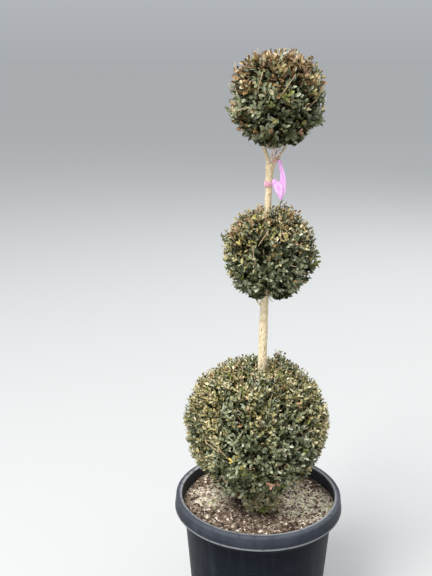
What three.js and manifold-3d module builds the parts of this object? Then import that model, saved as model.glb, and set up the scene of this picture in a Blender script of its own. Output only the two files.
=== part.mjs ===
// A potted triple ball topiary: a small-leaved evergreen shrub, clipped into three balls on
// one bare trunk, in a black nursery pot with a rolled rim and a filling of bark mulch.
// Millimetres, +Z up. The origin is the middle of the pot's flat underside.

import * as THREE from 'three';
import { mergeVertices } from 'three/addons/utils/BufferGeometryUtils.js';
import Module from 'manifold-3d';

const wasm = await Module();
wasm.setup();

// The clearance between two pieces that touch on the real plant
const GAP = 0.3;

// The pot: a tapered moulding, with a shoulder under a rolled rim whose band hangs free
const POT = {
  height: 404,
  baseRadius: 177,
  footRound: 7,
  shoulderRadius: 204,
  shoulderHeight: 342,
  shoulderRise: 16,
  wall: 3,
  floor: 4,
  rimRadius: 228,
  rimWidth: 17,
  rimRound: 1.5,
  bandDrop: 38,
  bandFlare: 3,
  facets: 48,
};
const DRAIN = { count: 6, radius: 10, height: 24, facets: 12 };

// The mulch: level round the trunk, then uneven out to the pot's wall
const MULCH = { top: 367, level: 45, rings: 5, uneven: 1.6, waves: [31, 23, 41] };

// The trunk: its lean is given by a few points on its middle line, from the mulch to the fork
const TRUNK = {
  route: [
    [1, 0, -8], [-3, 2, 130], [5, 4, 380], [7, 2, 510], [11, 0, 680],
    [13, -1, 840], [14.5, 0, 895], [15.5, 0, 925], [17, 0, 946],
  ],
  footRadius: 15.5,
  forkRadius: 7.4,
  flare: 10,
  flareHeight: 24,
  facets: 12,
  steps: 38,
};
// Swellings on the trunk: height above the mulch, half length, and how far they stand out
const KNOTS = [
  { height: 505, spread: 22, swell: 1 },
  { height: 896, spread: 13, swell: 1.7 },
  { height: 940, spread: 27, swell: 4.2 },
];

// The limbs that leave the trunk, each one taper, from inside the trunk to its tip
const LIMBS = {
  stem_left: { route: [[15, 0, 1294], [10, 0, 1322], [2, 1, 1345], [-2, 1, 1361]], radii: [6.4, 4.7] },
  stem_right: { route: [[19, 0, 1290], [27, -2, 1311], [40, -3, 1331], [57, -2, 1354]], radii: [5, 1.6] },
  shoot_dead: { route: [[19, 0, 1303], [20, -7, 1326], [31, -9, 1339], [27, -6, 1347]], radii: [2.2, 1.2] },
  twig_side: { route: [[6, 0, 938], [-5, -2, 948], [-13, -3, 964], [-18, -3, 977]], radii: [3.2, 1.8] },
};
const LIMB_FACETS = 8;
const LIMB_STEPS = 8;

// The stem in the top ball, which goes on from the tip of the left stem
const INNER_STEM = { route: [[-2.1, 1, 1361.3], [-5, 1, 1373], [0, 1, 1410]], radii: [4.7, 4] };

// The balls. Each keeps inside a rounded space: so far across from its middle, so far up and
// so far down, with a power above 2 where it is squarer than an ellipse and below 2 where it
// narrows. The lowest one has a beard of leaves down to the mulch, whose middle is shifted
// towards an azimuth. The core stays under the leaves, and shoots are the few tips that
// escaped clipping: azimuth, elevation and length.
const BALLS = {
  foliage_low: {
    middle: [-7, 0, 622], across: 197, up: 170, upPower: 2.2, down: 204, downPower: 2.05,
    beard: {
      radius: 57, shift: 22, towards: -38, depth: 251,
      sprays: 20, leaf: 23, from: -70, to: -79.5, extra: -4,
    },
    sprays: 94, leaf: 31, coreFacets: [20, 20], seed: 11,
    shoots: [[46, 61, 22], [105, 68, 9], [3, 4, 6], [178, 2, 5]],
  },
  foliage_mid: {
    middle: [20, 0, 1090], across: 123, up: 121, upPower: 2.3, down: 127, downPower: 2.3,
    sprays: 42, leaf: 31, coreFacets: [16, 12], seed: 23,
    shoots: [[-8, -12, 12], [-70, -72, 6], [180, 17, 11]],
  },
  foliage_top: {
    middle: [29, 0, 1465], across: 119, up: 120, upPower: 3.1, down: 116, downPower: 2.1,
    sprays: 42, leaf: 32, coreFacets: [16, 12], seed: 37,
    shoots: [[25, 68, 8], [172, -18, 12], [-10, -24, 12]],
    innerStem: INNER_STEM,
  },
};
// The depth of leaves over a core, the height of the core's lumps and how closely they follow,
// and what leaves keep clear of limbs and mulch
const SHELL = 24;
const LUMP = 2.5;
const LUMP_TURNS = [7, 6, 5, 9];
const CLEAR = 3;
// The twigs and leaves. A leaf's width, thickness and widest place are shares of its length.
const TWIG = { sunk: 8, rootRadius: 2.4, tipRadius: 1.9, bud: 3, droop: 0.6, lean: 0.3, stray: 0.4 };
const LEAF = { width: 0.56, thickness: 0.06, widest: 0.48, forward: 0.5, vary: 0.2, slack: 2 };
const SIDES = 3;
const GOLDEN_ANGLE = Math.PI * (3 - Math.sqrt(5));

// The plastic ribbon: a band round the trunk's upper knot, and a loop of tape that hangs from it
const RIBBON = {
  low: 1254,
  high: 1270,
  tieLow: 1315,
  tieHigh: 1322,
  thickness: 1.2,
  ahead: 9,
  slant: 0.07,
  outline: [
    [16, 1268], [31, 1273], [38, 1266], [41, 1288], [36, 1310], [35, 1321],
    [41, 1321], [47, 1303], [55, 1279], [56, 1261], [53, 1231], [43, 1222], [35, 1229], [16, 1258],
  ],
};

const MATERIALS = {
  pot: new THREE.MeshStandardMaterial({ color: 0x2f333a, roughness: 0.5, metalness: 0 }),
  mulch: new THREE.MeshStandardMaterial({ color: 0x6b6053, roughness: 0.95, metalness: 0 }),
  bark: new THREE.MeshStandardMaterial({ color: 0xc9b48c, roughness: 0.85, metalness: 0 }),
  foliage: new THREE.MeshStandardMaterial({ color: 0x5f6040, roughness: 0.6, metalness: 0 }),
  ribbon: new THREE.MeshStandardMaterial({ color: 0xdbb7d7, roughness: 0.4, metalness: 0 }),
};

// Gives a run of even random numbers from 0 to 1, the same for the same seed
function randomFrom(seed) {
  let state = seed;
  return () => {
    state = (state + 0x6d2b79f5) | 0;
    let mixed = Math.imul(state ^ (state >>> 15), 1 | state);
    mixed = (mixed + Math.imul(mixed ^ (mixed >>> 7), 61 | mixed)) ^ mixed;
    return ((mixed ^ (mixed >>> 14)) >>> 0) / 2 ** 32;
  };
}

// Lists the triangles of a merged geometry, without those that a pole or a seam closed up
function wholeTriangles(merged) {
  const corners = merged.index.array;
  const kept = [];
  for (let i = 0; i < corners.length; i += 3) {
    const [a, b, c] = [corners[i], corners[i + 1], corners[i + 2]];
    if (a !== b && b !== c && c !== a) {
      kept.push(a, b, c);
    }
  }
  return kept;
}

// Six times the volume that the triangles enclose, which is negative where they face inwards
function signedVolume(places, corners) {
  const [a, b, c] = [new THREE.Vector3(), new THREE.Vector3(), new THREE.Vector3()];
  let sum = 0;
  for (let i = 0; i < corners.length; i += 3) {
    a.fromArray(places, 3 * corners[i]);
    b.fromArray(places, 3 * corners[i + 1]);
    c.fromArray(places, 3 * corners[i + 2]);
    sum += a.dot(b.cross(c));
  }
  return sum;
}

// Makes a solid for joining and cutting from a closed geometry
function solidOf(geometry) {
  const bare = geometry.clone();
  bare.deleteAttribute('normal');
  bare.deleteAttribute('uv');
  const merged = mergeVertices(bare);
  const places = merged.attributes.position.array;
  const corners = wholeTriangles(merged);
  if (signedVolume(places, corners) < 0) {
    corners.reverse();
  }
  return new wasm.Manifold(new wasm.Mesh({
    numProp: 3,
    vertProperties: new Float32Array(places),
    triVerts: new Uint32Array(corners),
  }));
}

// Gives the largest body of a solid back as a geometry. Loose scraps are dropped, and a hollow
// that joining sealed is filled, because its wall is a body of its own that faces inwards.
function geometryOf(solid) {
  const bodies = solid.decompose().sort((one, other) => other.volume() - one.volume());
  const mesh = bodies[0].getMesh();
  const geometry = new THREE.BufferGeometry();
  geometry.setAttribute('position', new THREE.Float32BufferAttribute(mesh.vertProperties, 3));
  geometry.setIndex(Array.from(mesh.triVerts));
  geometry.computeVertexNormals();
  return geometry;
}

// Adds a solid to the plant as a named mesh
const plant = new THREE.Group();
function addPiece(name, solid, material) {
  const piece = new THREE.Mesh(geometryOf(solid), material);
  piece.name = name;
  plant.add(piece);
}

// Turns a profile of [radius, height] points about the Z axis
function turned(profile, facets) {
  const points = profile.map(([radius, height]) => new THREE.Vector2(radius, height));
  return new THREE.LatheGeometry(points, facets).rotateX(Math.PI / 2);
}

// The radius of the outside of the pot's wall, up to its shoulder
function wallRadius(height) {
  return POT.baseRadius + (POT.shoulderRadius - POT.baseRadius) * height / POT.shoulderHeight;
}

const RIM_INSIDE = POT.rimRadius - POT.rimWidth;
const BAND_FOOT = POT.height - POT.bandDrop;
const SHOULDER_TOP = POT.shoulderHeight + POT.shoulderRise;

// The pot, with a ring of drain holes low in its wall
function makePot() {
  const outside = [
    [0, 0],
    [POT.baseRadius - POT.footRound, 0],
    [wallRadius(POT.footRound), POT.footRound],
    [POT.shoulderRadius, POT.shoulderHeight],
    [RIM_INSIDE + POT.wall, SHOULDER_TOP],
    [RIM_INSIDE + POT.wall, POT.height - POT.floor],
  ];
  const rim = [
    [POT.rimRadius - POT.wall, POT.height - POT.floor],
    [POT.rimRadius + POT.bandFlare - POT.wall, BAND_FOOT],
    [POT.rimRadius + POT.bandFlare, BAND_FOOT],
    [POT.rimRadius, POT.height - POT.rimRound],
    [POT.rimRadius - POT.rimRound, POT.height],
    [RIM_INSIDE + POT.rimRound, POT.height],
    [RIM_INSIDE, POT.height - POT.rimRound],
  ];
  const inside = [
    [RIM_INSIDE, SHOULDER_TOP],
    [POT.shoulderRadius - POT.wall, POT.shoulderHeight],
    [wallRadius(POT.footRound) - POT.wall, POT.footRound + POT.floor],
    [wallRadius(POT.footRound) - POT.wall - POT.footRound, POT.floor],
    [0, POT.floor],
  ];
  let pot = solidOf(turned([...outside, ...rim, ...inside], POT.facets));
  for (let i = 0; i < DRAIN.count; i += 1) {
    const hole = new THREE.CylinderGeometry(DRAIN.radius, DRAIN.radius, POT.baseRadius, DRAIN.facets);
    hole.rotateZ(Math.PI / 2).translate(POT.baseRadius, 0, DRAIN.height);
    hole.rotateZ(2 * Math.PI * (i + 0.5) / DRAIN.count);
    pot = pot.subtract(solidOf(hole));
  }
  return pot;
}

// How far the mulch lies above its level at a place, from three crossed waves
function mulchRise(x, y) {
  const away = THREE.MathUtils.smoothstep(Math.hypot(x, y), MULCH.level, 2 * MULCH.level);
  const [first, second, third] = MULCH.waves;
  const waves = Math.sin(x / first) + Math.sin(y / second + 1) + Math.sin((x + y) / third + 2);
  return MULCH.uneven * away * waves;
}

// The mulch fills the pot, clear of its wall and floor
function makeMulch() {
  const reach = RIM_INSIDE - GAP;
  const top = [];
  for (let ring = 0; ring <= MULCH.rings; ring += 1) {
    top.push([reach * (1 - ring / MULCH.rings), MULCH.top]);
  }
  const wall = POT.wall + GAP;
  const lathe = turned([
    [0, POT.floor + GAP],
    [wallRadius(POT.footRound) - wall - POT.footRound, POT.floor + GAP],
    [wallRadius(POT.footRound) - wall, POT.footRound + POT.floor + GAP],
    [POT.shoulderRadius - wall, POT.shoulderHeight],
    [reach, SHOULDER_TOP],
    ...top,
  ], POT.facets);
  const places = lathe.attributes.position;
  for (let i = 0; i < places.count; i += 1) {
    if (places.getZ(i) > SHOULDER_TOP + 1) {
      places.setZ(i, MULCH.top + mulchRise(places.getX(i), places.getY(i)));
    }
  }
  return solidOf(lathe);
}

// Fills the space between two heights, far wider than the plant
function slab(low, high) {
  const slice = new THREE.BoxGeometry(2 * POT.height, 2 * POT.height, high - low);
  return solidOf(slice.translate(0, 0, (low + high) / 2));
}

// Carries a ring of facets along a smooth curve. radiusAt gives its radius at each share of
// the way, and the first and last rings are closed flat, square to the curve.
function sweep(curve, radiusAt, facets, steps) {
  const tube = new THREE.CylinderGeometry(1, 1, 1, facets, steps);
  const frames = curve.computeFrenetFrames(steps, false);
  const places = tube.attributes.position;
  for (let i = 0; i < places.count; i += 1) {
    const step = Math.round((places.getY(i) + 0.5) * steps);
    const radius = radiusAt(step / steps);
    const place = curve.getPointAt(step / steps);
    place.addScaledVector(frames.normals[step], radius * places.getX(i));
    place.addScaledVector(frames.binormals[step], radius * places.getZ(i));
    places.setXYZ(i, place.x, place.y, place.z);
  }
  return solidOf(tube);
}

function curveThrough(route, lift = 0) {
  return new THREE.CatmullRomCurve3(route.map(([x, y, z]) => new THREE.Vector3(x, y, z + lift)));
}

// The trunk stands on the mulch, with a flat cut at its foot
const TRUNK_FOOT = MULCH.top + GAP;
const TRUNK_LENGTH = TRUNK.route.at(-1)[2] - TRUNK.route[0][2];
const trunkCurve = curveThrough(TRUNK.route, TRUNK_FOOT);
const GROUND = slab(TRUNK_FOOT - POT.height, TRUNK_FOOT);

// The trunk's radius: an even taper, the flare of the roots, and the knots
function trunkRadius(share) {
  const height = share * TRUNK_LENGTH + TRUNK.route[0][2];
  const taper = THREE.MathUtils.lerp(TRUNK.footRadius, TRUNK.forkRadius, share);
  const flare = TRUNK.flare * Math.exp(-height / TRUNK.flareHeight);
  const swell = KNOTS.reduce(
    (sum, knot) => sum + knot.swell * Math.exp(-(((height - knot.height) / knot.spread) ** 2)),
    0,
  );
  return taper + flare + swell;
}

// The trunk, or with a margin the space that has to stay clear round it
function makeTrunk(margin = 0) {
  const whole = sweep(trunkCurve, (share) => trunkRadius(share) + margin, TRUNK.facets, TRUNK.steps);
  return whole.subtract(GROUND);
}

// A limb with an even taper, or with a margin the space round it
function makeLimb({ route, radii }, margin = 0) {
  const radiusAt = (share) => THREE.MathUtils.lerp(radii[0], radii[1], share) + margin;
  return sweep(curveThrough(route), radiusAt, LIMB_FACETS, LIMB_STEPS);
}

// How far a ball reaches from its middle in a direction, or a space so far inside its outline
function reachOf(ball, direction, inset = 0) {
  const [length, power] = direction.z > 0 ? [ball.up, ball.upPower] : [ball.down, ball.downPower];
  const level = Math.hypot(direction.x, direction.y);
  const across = level / (ball.across - inset);
  const upright = Math.abs(direction.z) / (length - inset);
  const clipped = (across ** power + upright ** power) ** (-1 / power);
  if (ball.beard && direction.z < 0) {
    const turn = Math.atan2(direction.y, direction.x) - THREE.MathUtils.degToRad(ball.beard.towards);
    const side = (ball.beard.radius + ball.beard.shift * Math.cos(turn) - inset) / level;
    const foot = (ball.beard.depth - inset) / -direction.z;
    return Math.max(clipped, Math.min(side, foot));
  }
  return clipped;
}

// The lumps of a ball, from -2 to 2, as two crossed sets of waves over its directions
function lumps({ x, y, z }, seed) {
  const [first, second, third, fourth] = LUMP_TURNS;
  return Math.sin(first * x + seed) * Math.sin(second * y) + Math.sin(third * z + fourth * x);
}

// A ball's core: its own outline, drawn in by the depth of the leaves and lumpy like clipped twigs
function makeCore(ball) {
  const core = new THREE.SphereGeometry(1, ...ball.coreFacets).rotateX(Math.PI / 2);
  const places = core.attributes.position;
  const direction = new THREE.Vector3();
  for (let i = 0; i < places.count; i += 1) {
    direction.fromBufferAttribute(places, i).normalize();
    const depth = SHELL - LUMP * lumps(direction, ball.seed);
    direction.multiplyScalar(reachOf(ball, direction, depth));
    places.setXYZ(i, ...direction);
  }
  return solidOf(core.translate(...ball.middle));
}

// The three corners of a twig's section at a place on it
function twigRing(place, ahead, across, radius) {
  return Array.from({ length: SIDES }, (_, side) => {
    const outward = across.clone().applyAxisAngle(ahead, 2 * Math.PI * side / SIDES);
    return outward.multiplyScalar(radius).add(place);
  });
}

// A leaf's left edge, right edge, upper ridge and tip. It starts at its root, runs out to one
// side of the twig and forward along it, and turns its upper face to the twig's tip.
function leafPoints(root, ahead, outward, length) {
  const along = outward.clone().addScaledVector(ahead, LEAF.forward).normalize();
  const right = new THREE.Vector3().crossVectors(ahead, outward);
  const upper = new THREE.Vector3().crossVectors(along, right);
  const widest = root.clone().addScaledVector(along, LEAF.widest * length);
  return [
    widest.clone().addScaledVector(right, -LEAF.width * length / 2),
    widest.clone().addScaledVector(right, LEAF.width * length / 2),
    widest.clone().addScaledVector(upper, LEAF.thickness * length),
    root.clone().addScaledVector(along, length),
  ];
}

// The faces of a twig's plain side, between two corners of its lower and upper rings
function sideFaces(low, nextLow, high, nextHigh) {
  return [low, nextLow, nextHigh, low, nextHigh, high];
}

// The faces of a side that grows out into a leaf, whose four points start at an index
function leafFaces(low, nextLow, high, nextHigh, first) {
  const [left, right, ridge, tip] = [first, first + 1, first + 2, first + 3];
  return [
    low, nextLow, right, low, right, left, nextLow, nextHigh, right, nextHigh, high, ridge,
    high, low, left, nextHigh, ridge, right, high, left, ridge,
    left, right, tip, right, ridge, tip, ridge, left, tip,
  ];
}

// Points along a limb with its radius there, close enough that no leaf slips between them
function beadsOn(curve, radiusAt) {
  const count = Math.ceil(curve.getLength() / (2 * CLEAR));
  return Array.from({ length: count + 1 }, (_, i) => (
    { place: curve.getPointAt(i / count), radius: radiusAt(i / count) }
  ));
}
const BEADS = [
  ...beadsOn(trunkCurve, trunkRadius),
  ...Object.values(LIMBS).flatMap(({ route, radii }) => beadsOn(curveThrough(route), () => radii[0])),
];

// True where a point lies in the ball's space, above the mulch and off every limb
function isFree(ball, point, extra) {
  const from = point.clone().sub(new THREE.Vector3(...ball.middle));
  const inside = from.length() <= reachOf(ball, from.clone().normalize(), -extra);
  const above = point.z > MULCH.top + CLEAR;
  return inside && above && BEADS.every((bead) => bead.place.distanceTo(point) > bead.radius + CLEAR);
}

// One spray, as one closed mesh: a three-sided twig from its root in the core to its tip, whose
// last stretch bears a leaf on each side that has room for one
function sprayMesh(ball, root, tip, across, lengths, extra) {
  const ahead = new THREE.Vector3().subVectors(tip, root).normalize();
  const under = tip.clone().addScaledVector(ahead, -TWIG.bud);
  const square = across.clone().cross(ahead).normalize();
  const points = [
    ...twigRing(root, ahead, square, TWIG.rootRadius),
    ...twigRing(under, ahead, square, TWIG.tipRadius),
    ...twigRing(tip, ahead, square, TWIG.tipRadius),
  ];
  const faces = [0, 2, 1, 6, 7, 8];
  for (let side = 0; side < SIDES; side += 1) {
    const next = (side + 1) % SIDES;
    const quad = [SIDES + side, SIDES + next, 2 * SIDES + side, 2 * SIDES + next];
    const outward = square.clone().applyAxisAngle(ahead, 2 * Math.PI * (side + 0.5) / SIDES);
    const leaf = leafPoints(under, ahead, outward, lengths[side]);
    faces.push(...sideFaces(side, next, SIDES + side, SIDES + next));
    if (leaf.every((point) => isFree(ball, point, extra))) {
      faces.push(...leafFaces(...quad, points.length));
      points.push(...leaf);
    } else {
      faces.push(...sideFaces(...quad));
    }
  }
  return new THREE.BufferGeometry().setFromPoints(points).setIndex(faces);
}

// A step in a random direction, at most half a unit along each axis
function randomStep(random) {
  return new THREE.Vector3(random() - 0.5, random() - 0.5, random() - 0.5);
}

// Makes one spray, or nothing where its twig has no room. It stands in a direction from the
// ball's middle and grows outward, leaning up to the light. Extra lets a shoot stand past the
// outline, or keeps it that much further in.
function makeSpray(ball, { direction, outward, leaf, extra }, random) {
  const middle = new THREE.Vector3(...ball.middle);
  const stray = randomStep(random);
  const ahead = outward.clone().multiply(new THREE.Vector3(1, 1, TWIG.droop));
  ahead.addScaledVector(stray, TWIG.stray);
  ahead.z += TWIG.lean;
  ahead.normalize();
  const lengths = Array.from({ length: SIDES }, () => leaf * (1 - LEAF.vary * random()));
  const depth = LEAF.slack + LEAF.forward * leaf - extra;
  const tip = middle.clone().addScaledVector(direction, reachOf(ball, direction, depth));
  const root = tip.clone().addScaledVector(ahead, depth - SHELL - TWIG.sunk);
  const across = randomStep(random);
  return isFree(ball, tip, extra) ? [solidOf(sprayMesh(ball, root, tip, across, lengths, extra))] : [];
}

// The even spiral over a ball that its twigs grow on, from the top down
function spiralDirection(index, count) {
  const z = 1 - 2 * (index + 0.5) / count;
  const level = Math.sqrt(1 - z * z);
  const angle = index * GOLDEN_ANGLE;
  return new THREE.Vector3(level * Math.cos(angle), level * Math.sin(angle), z);
}

// Takes an azimuth and a height above level in degrees
function directionAt(azimuth, elevation) {
  const [turn, tilt] = [azimuth, elevation].map(THREE.MathUtils.degToRad);
  const level = Math.cos(tilt);
  return new THREE.Vector3(level * Math.cos(turn), level * Math.sin(turn), Math.sin(tilt));
}

// The places of a ball's sprays: the spiral, the shoots and the beard
function sprayPlaces(ball) {
  const places = [];
  for (let i = 0; i < ball.sprays; i += 1) {
    const direction = spiralDirection(i, ball.sprays);
    places.push({ direction, outward: direction, leaf: ball.leaf, extra: 0 });
  }
  for (const [azimuth, elevation, extra] of ball.shoots) {
    const direction = directionAt(azimuth, elevation);
    places.push({ direction, outward: direction, leaf: ball.leaf, extra });
  }
  const beard = ball.beard ?? { sprays: 0 };
  for (let i = 0; i < beard.sprays; i += 1) {
    const azimuth = THREE.MathUtils.radToDeg(i * GOLDEN_ANGLE);
    const elevation = THREE.MathUtils.lerp(beard.from, beard.to, i / beard.sprays);
    const direction = directionAt(azimuth, elevation);
    places.push({ direction, outward: directionAt(azimuth, 0), leaf: beard.leaf, extra: beard.extra });
  }
  return places;
}

// A clipped ball of foliage: its core, its sprays, and a bore that clears the trunk and limbs
function makeBall(ball) {
  const random = randomFrom(ball.seed);
  const sprays = sprayPlaces(ball).flatMap((place) => makeSpray(ball, place, random));
  const stem = ball.innerStem ? [makeLimb(ball.innerStem)] : [];
  const joined = [...stem, ...sprays].reduce((sum, piece) => sum.add(piece), makeCore(ball));
  return limbSpaces.reduce((rest, space) => rest.subtract(space), joined);
}

// The ribbon: a sleeve round the trunk and one round the right stem, joined by the hanging loop.
// The loop is drawn on its slanted sheet, in front of the trunk and the stem.
function makeRibbon() {
  const margin = GAP + RIBBON.thickness;
  const sleeve = makeTrunk(margin).intersect(slab(RIBBON.low, RIBBON.high));
  const tie = makeLimb(LIMBS.stem_right, margin).intersect(slab(RIBBON.tieLow, RIBBON.tieHigh));
  const shape = new THREE.Shape(RIBBON.outline.map(([x, z]) => new THREE.Vector2(x, z - RIBBON.low)));
  const loop = new THREE.ExtrudeGeometry(shape, { depth: RIBBON.thickness, bevelEnabled: false });
  loop.rotateX(Math.PI / 2 - RIBBON.slant).translate(0, -RIBBON.ahead, RIBBON.low);
  return limbSpaces.reduce((rest, space) => rest.subtract(space), sleeve.add(tie).add(solidOf(loop)));
}

addPiece('pot', makePot(), MATERIALS.pot);
addPiece('mulch', makeMulch(), MATERIALS.mulch);
addPiece('trunk', makeTrunk(), MATERIALS.bark);

// Each limb is cut clear of the trunk and of the limbs before it, as everything after them is
const limbSpaces = [makeTrunk(GAP)];
for (const [name, limb] of Object.entries(LIMBS)) {
  const seated = limbSpaces.reduce((rest, space) => rest.subtract(space), makeLimb(limb));
  addPiece(name, seated, MATERIALS.bark);
  limbSpaces.push(makeLimb(limb, GAP));
}

for (const [name, ball] of Object.entries(BALLS)) {
  addPiece(name, makeBall(ball), MATERIALS.foliage);
}
addPiece('ribbon', makeRibbon(), MATERIALS.ribbon);

export default plant;
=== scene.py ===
"""The looks of a potted triple ball topiary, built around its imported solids.

Metres, in the frame of the solids: the origin is the middle of the pot's flat underside, +Z is
up, and the photograph looks along +Y. Sizes are given in millimetres, times MM.
"""

import math

import bpy
import numpy as np
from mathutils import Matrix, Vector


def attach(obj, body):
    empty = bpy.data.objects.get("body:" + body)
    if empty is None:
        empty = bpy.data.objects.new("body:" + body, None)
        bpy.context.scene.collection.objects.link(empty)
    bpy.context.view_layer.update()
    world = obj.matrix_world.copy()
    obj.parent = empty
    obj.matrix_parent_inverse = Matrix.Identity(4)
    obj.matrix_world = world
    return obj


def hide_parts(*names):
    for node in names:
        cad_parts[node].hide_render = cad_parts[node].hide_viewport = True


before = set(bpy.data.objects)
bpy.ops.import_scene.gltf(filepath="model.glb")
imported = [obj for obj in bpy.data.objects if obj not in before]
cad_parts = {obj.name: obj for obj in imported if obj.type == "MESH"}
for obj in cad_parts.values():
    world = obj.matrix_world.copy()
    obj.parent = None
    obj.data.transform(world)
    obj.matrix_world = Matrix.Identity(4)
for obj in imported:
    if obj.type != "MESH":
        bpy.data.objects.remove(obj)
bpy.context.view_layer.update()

# The camera stands where the photograph was taken from: a little left of the plant, level with
# its top and turned down by 16 degrees. The floor is plain and pale. The light is a wide soft
# sky with three broad lamps: high on the left, behind on the right, and weak and low in front.
CAMERA_PLACE = (-0.117, -1.980, 1.566)
CAMERA_DOWN = math.radians(16.2)
LENS = 50.0
FILM = 36.0
camera_data = bpy.data.cameras.new("camera")
camera_data.lens = LENS
camera_data.sensor_width = FILM
camera = bpy.data.objects.new("camera", camera_data)
camera.location = CAMERA_PLACE
camera.rotation_euler = (math.pi / 2 - CAMERA_DOWN, 0, 0)
scene = bpy.context.scene
scene.collection.objects.link(camera)
scene.camera = camera
scene.view_settings.view_transform = "Standard"


def linear(red, green, blue):
    """Turns a colour as the eye reads it, 0 to 255 a channel, into a shader's colour."""
    shares = np.array([red, green, blue]) / 255
    light = np.where(shares <= 0.04045, shares / 12.92, ((shares + 0.055) / 1.055) ** 2.4)
    return (*light.tolist(), 1.0)


def new_material(name, colour, roughness, specular=0.5):
    """Makes a material whose one shader has these plain values on its own sockets."""
    material = bpy.data.materials.new(name)
    material.use_nodes = True
    shader = material.node_tree.nodes["Principled BSDF"]
    shader.inputs["Base Color"].default_value = linear(*colour)
    shader.inputs["Roughness"].default_value = roughness
    shader.inputs["Specular IOR Level"].default_value = specular
    return material


def add_mesh(name, points, faces, materials, smooth=True):
    """Makes an object from an array of points and a list of arrays of faces, each array with
    one count of corners. The materials fill the object's slots in order."""
    corners = np.concatenate([array.ravel() for array in faces])
    sizes = np.concatenate([np.full(len(array), array.shape[1]) for array in faces])
    starts = np.cumsum(sizes) - sizes
    mesh = bpy.data.meshes.new(name)
    mesh.vertices.add(len(points))
    mesh.vertices.foreach_set("co", np.asarray(points, np.float32).ravel())
    mesh.loops.add(len(corners))
    mesh.loops.foreach_set("vertex_index", corners.astype(np.int32))
    mesh.polygons.add(len(sizes))
    mesh.polygons.foreach_set("loop_start", starts.astype(np.int32))
    mesh.update(calc_edges=True)
    mesh.polygons.foreach_set("use_smooth", np.full(len(sizes), smooth))
    for material in materials:
        mesh.materials.append(material)
    thing = bpy.data.objects.new(name, mesh)
    scene.collection.objects.link(thing)
    return thing


def put(tree, kind, inputs=(), **settings):
    """Adds a shader node. Inputs are its sockets by name or number, each a value or a socket."""
    node = tree.nodes.new("ShaderNode" + kind)
    for name, value in settings.items():
        setattr(node, name, value)
    for name, value in dict(inputs).items():
        if isinstance(value, bpy.types.NodeSocket):
            tree.links.new(value, node.inputs[name])
        else:
            node.inputs[name].default_value = value
    return node


FLOOR_REACH = 300.0
floor_corners = FLOOR_REACH * np.array([[-1, -1, 0], [1, -1, 0], [1, 1, 0], [-1, 1, 0]])
floor_paint = new_material("floor_paint", (178, 178, 176), 0.9, 0.1)
floor = add_mesh("floor", floor_corners, [np.array([[0, 1, 2, 3]])], [floor_paint])

SKY_COLOUR = (240, 245, 252)
SKY_LEVEL = 0.46
SKY_ABOVE = 1.25
world = bpy.data.worlds.new("sky")
world.use_nodes = True
sky_tree = world.node_tree
sky_way = put(sky_tree, "SeparateXYZ", {0: put(sky_tree, "TexCoord").outputs["Generated"]})
sky_limits = {"Value": sky_way.outputs["Z"], "To Min": SKY_LEVEL, "To Max": SKY_ABOVE}
sky_strength = put(sky_tree, "MapRange", sky_limits).outputs[0]
background = sky_tree.nodes["Background"]
background.inputs["Color"].default_value = linear(*SKY_COLOUR)
sky_tree.links.new(sky_strength, background.inputs["Strength"])
scene.world = world
LAMPS = {
    "lamp_sky": {"place": (-2.4, -2.6, 6.2), "aim": 0.8, "size": 2.6, "watts": 560},
    "lamp_back": {"place": (3.0, 3.6, 5.0), "aim": 0.8, "size": 3.0, "watts": 200},
    "lamp_low": {"place": (-0.6, -2.8, 0.6), "aim": 0.4, "size": 1.2, "watts": 20},
}


def add_lamp(name, place, aim, size, watts):
    """Hangs a square soft lamp at a place, out of the camera's sight and turned to the point of
    the plant's axis that lies at the height of its aim."""
    lamp = bpy.data.lights.new(name, "AREA")
    lamp.size = size
    lamp.energy = watts
    holder = bpy.data.objects.new(name, lamp)
    holder.location = place
    way = Vector((0, 0, aim)) - Vector(place)
    holder.rotation_euler = way.to_track_quat("-Z", "Y").to_euler()
    holder.visible_camera = False
    scene.collection.objects.link(holder)


for name, lamp in LAMPS.items():
    add_lamp(name, **lamp)

# The pot is a tapered black polythene moulding with a shoulder, a rolled rim and a band that
# hangs free from it. The plastic is greyed on the band and the rim's top, partly as a dusty film
# and partly as painted sheen, and left darker high on the wall under the band as painted shade.
# Its edges are paler, partly worn and partly as painted highlight lines, and it is faintly
# streaked down the wall. Six drain holes are cut low in the wall.
MM = 0.001
POT = {"height": 404, "base": 177, "foot_round": 7, "shoulder": 204, "shoulder_height": 342,
       "shoulder_top": 358, "wall": 3, "floor": 4, "rim": 228, "rim_inside": 211, "lip_round": 5,
       "inner_round": 3, "lip_under": 6, "band_foot": 366, "band_flare": 3, "bead": 5,
       "bead_round": 1.6, "fold": 2, "lip_back": 0.6, "worn_and_highlit_edge": 3.6, "segments": 192}
WALL_SLOPE = (POT["shoulder"] - POT["base"]) / POT["shoulder_height"]
WALL_FOOT = POT["base"] + POT["foot_round"] * WALL_SLOPE
DRAIN = {"count": 6, "radius": 10, "height": 24, "facets": 24, "cut": (0.8, 1.2)}


def arc(middle, radius, start, end, count):
    """Points of (radius, height) on an arc, from one angle to another in degrees."""
    turns = np.radians(np.linspace(start, end, count))
    return np.stack([middle[0] + radius * np.cos(turns), middle[1] + radius * np.sin(turns)], 1)


def run(start, end, step):
    """Points on a straight stretch, the first one included and the last one left out."""
    count = max(1, round(math.dist(start, end) / step))
    shares = np.arange(count)[:, None] / count
    return np.array(start) * (1 - shares) + np.array(end) * shares


def grid_faces(rows, columns, closed):
    """The quads of a grid whose points are numbered row by row. A closed grid joins its last
    column to its first."""
    row = np.arange(rows - 1)[:, None] * columns
    column = np.arange(columns if closed else columns - 1)[None]
    after = (column + 1) % columns
    quads = [row + column, row + after, row + columns + after, row + columns + column]
    return np.stack(quads, -1).reshape(-1, 4)


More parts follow.
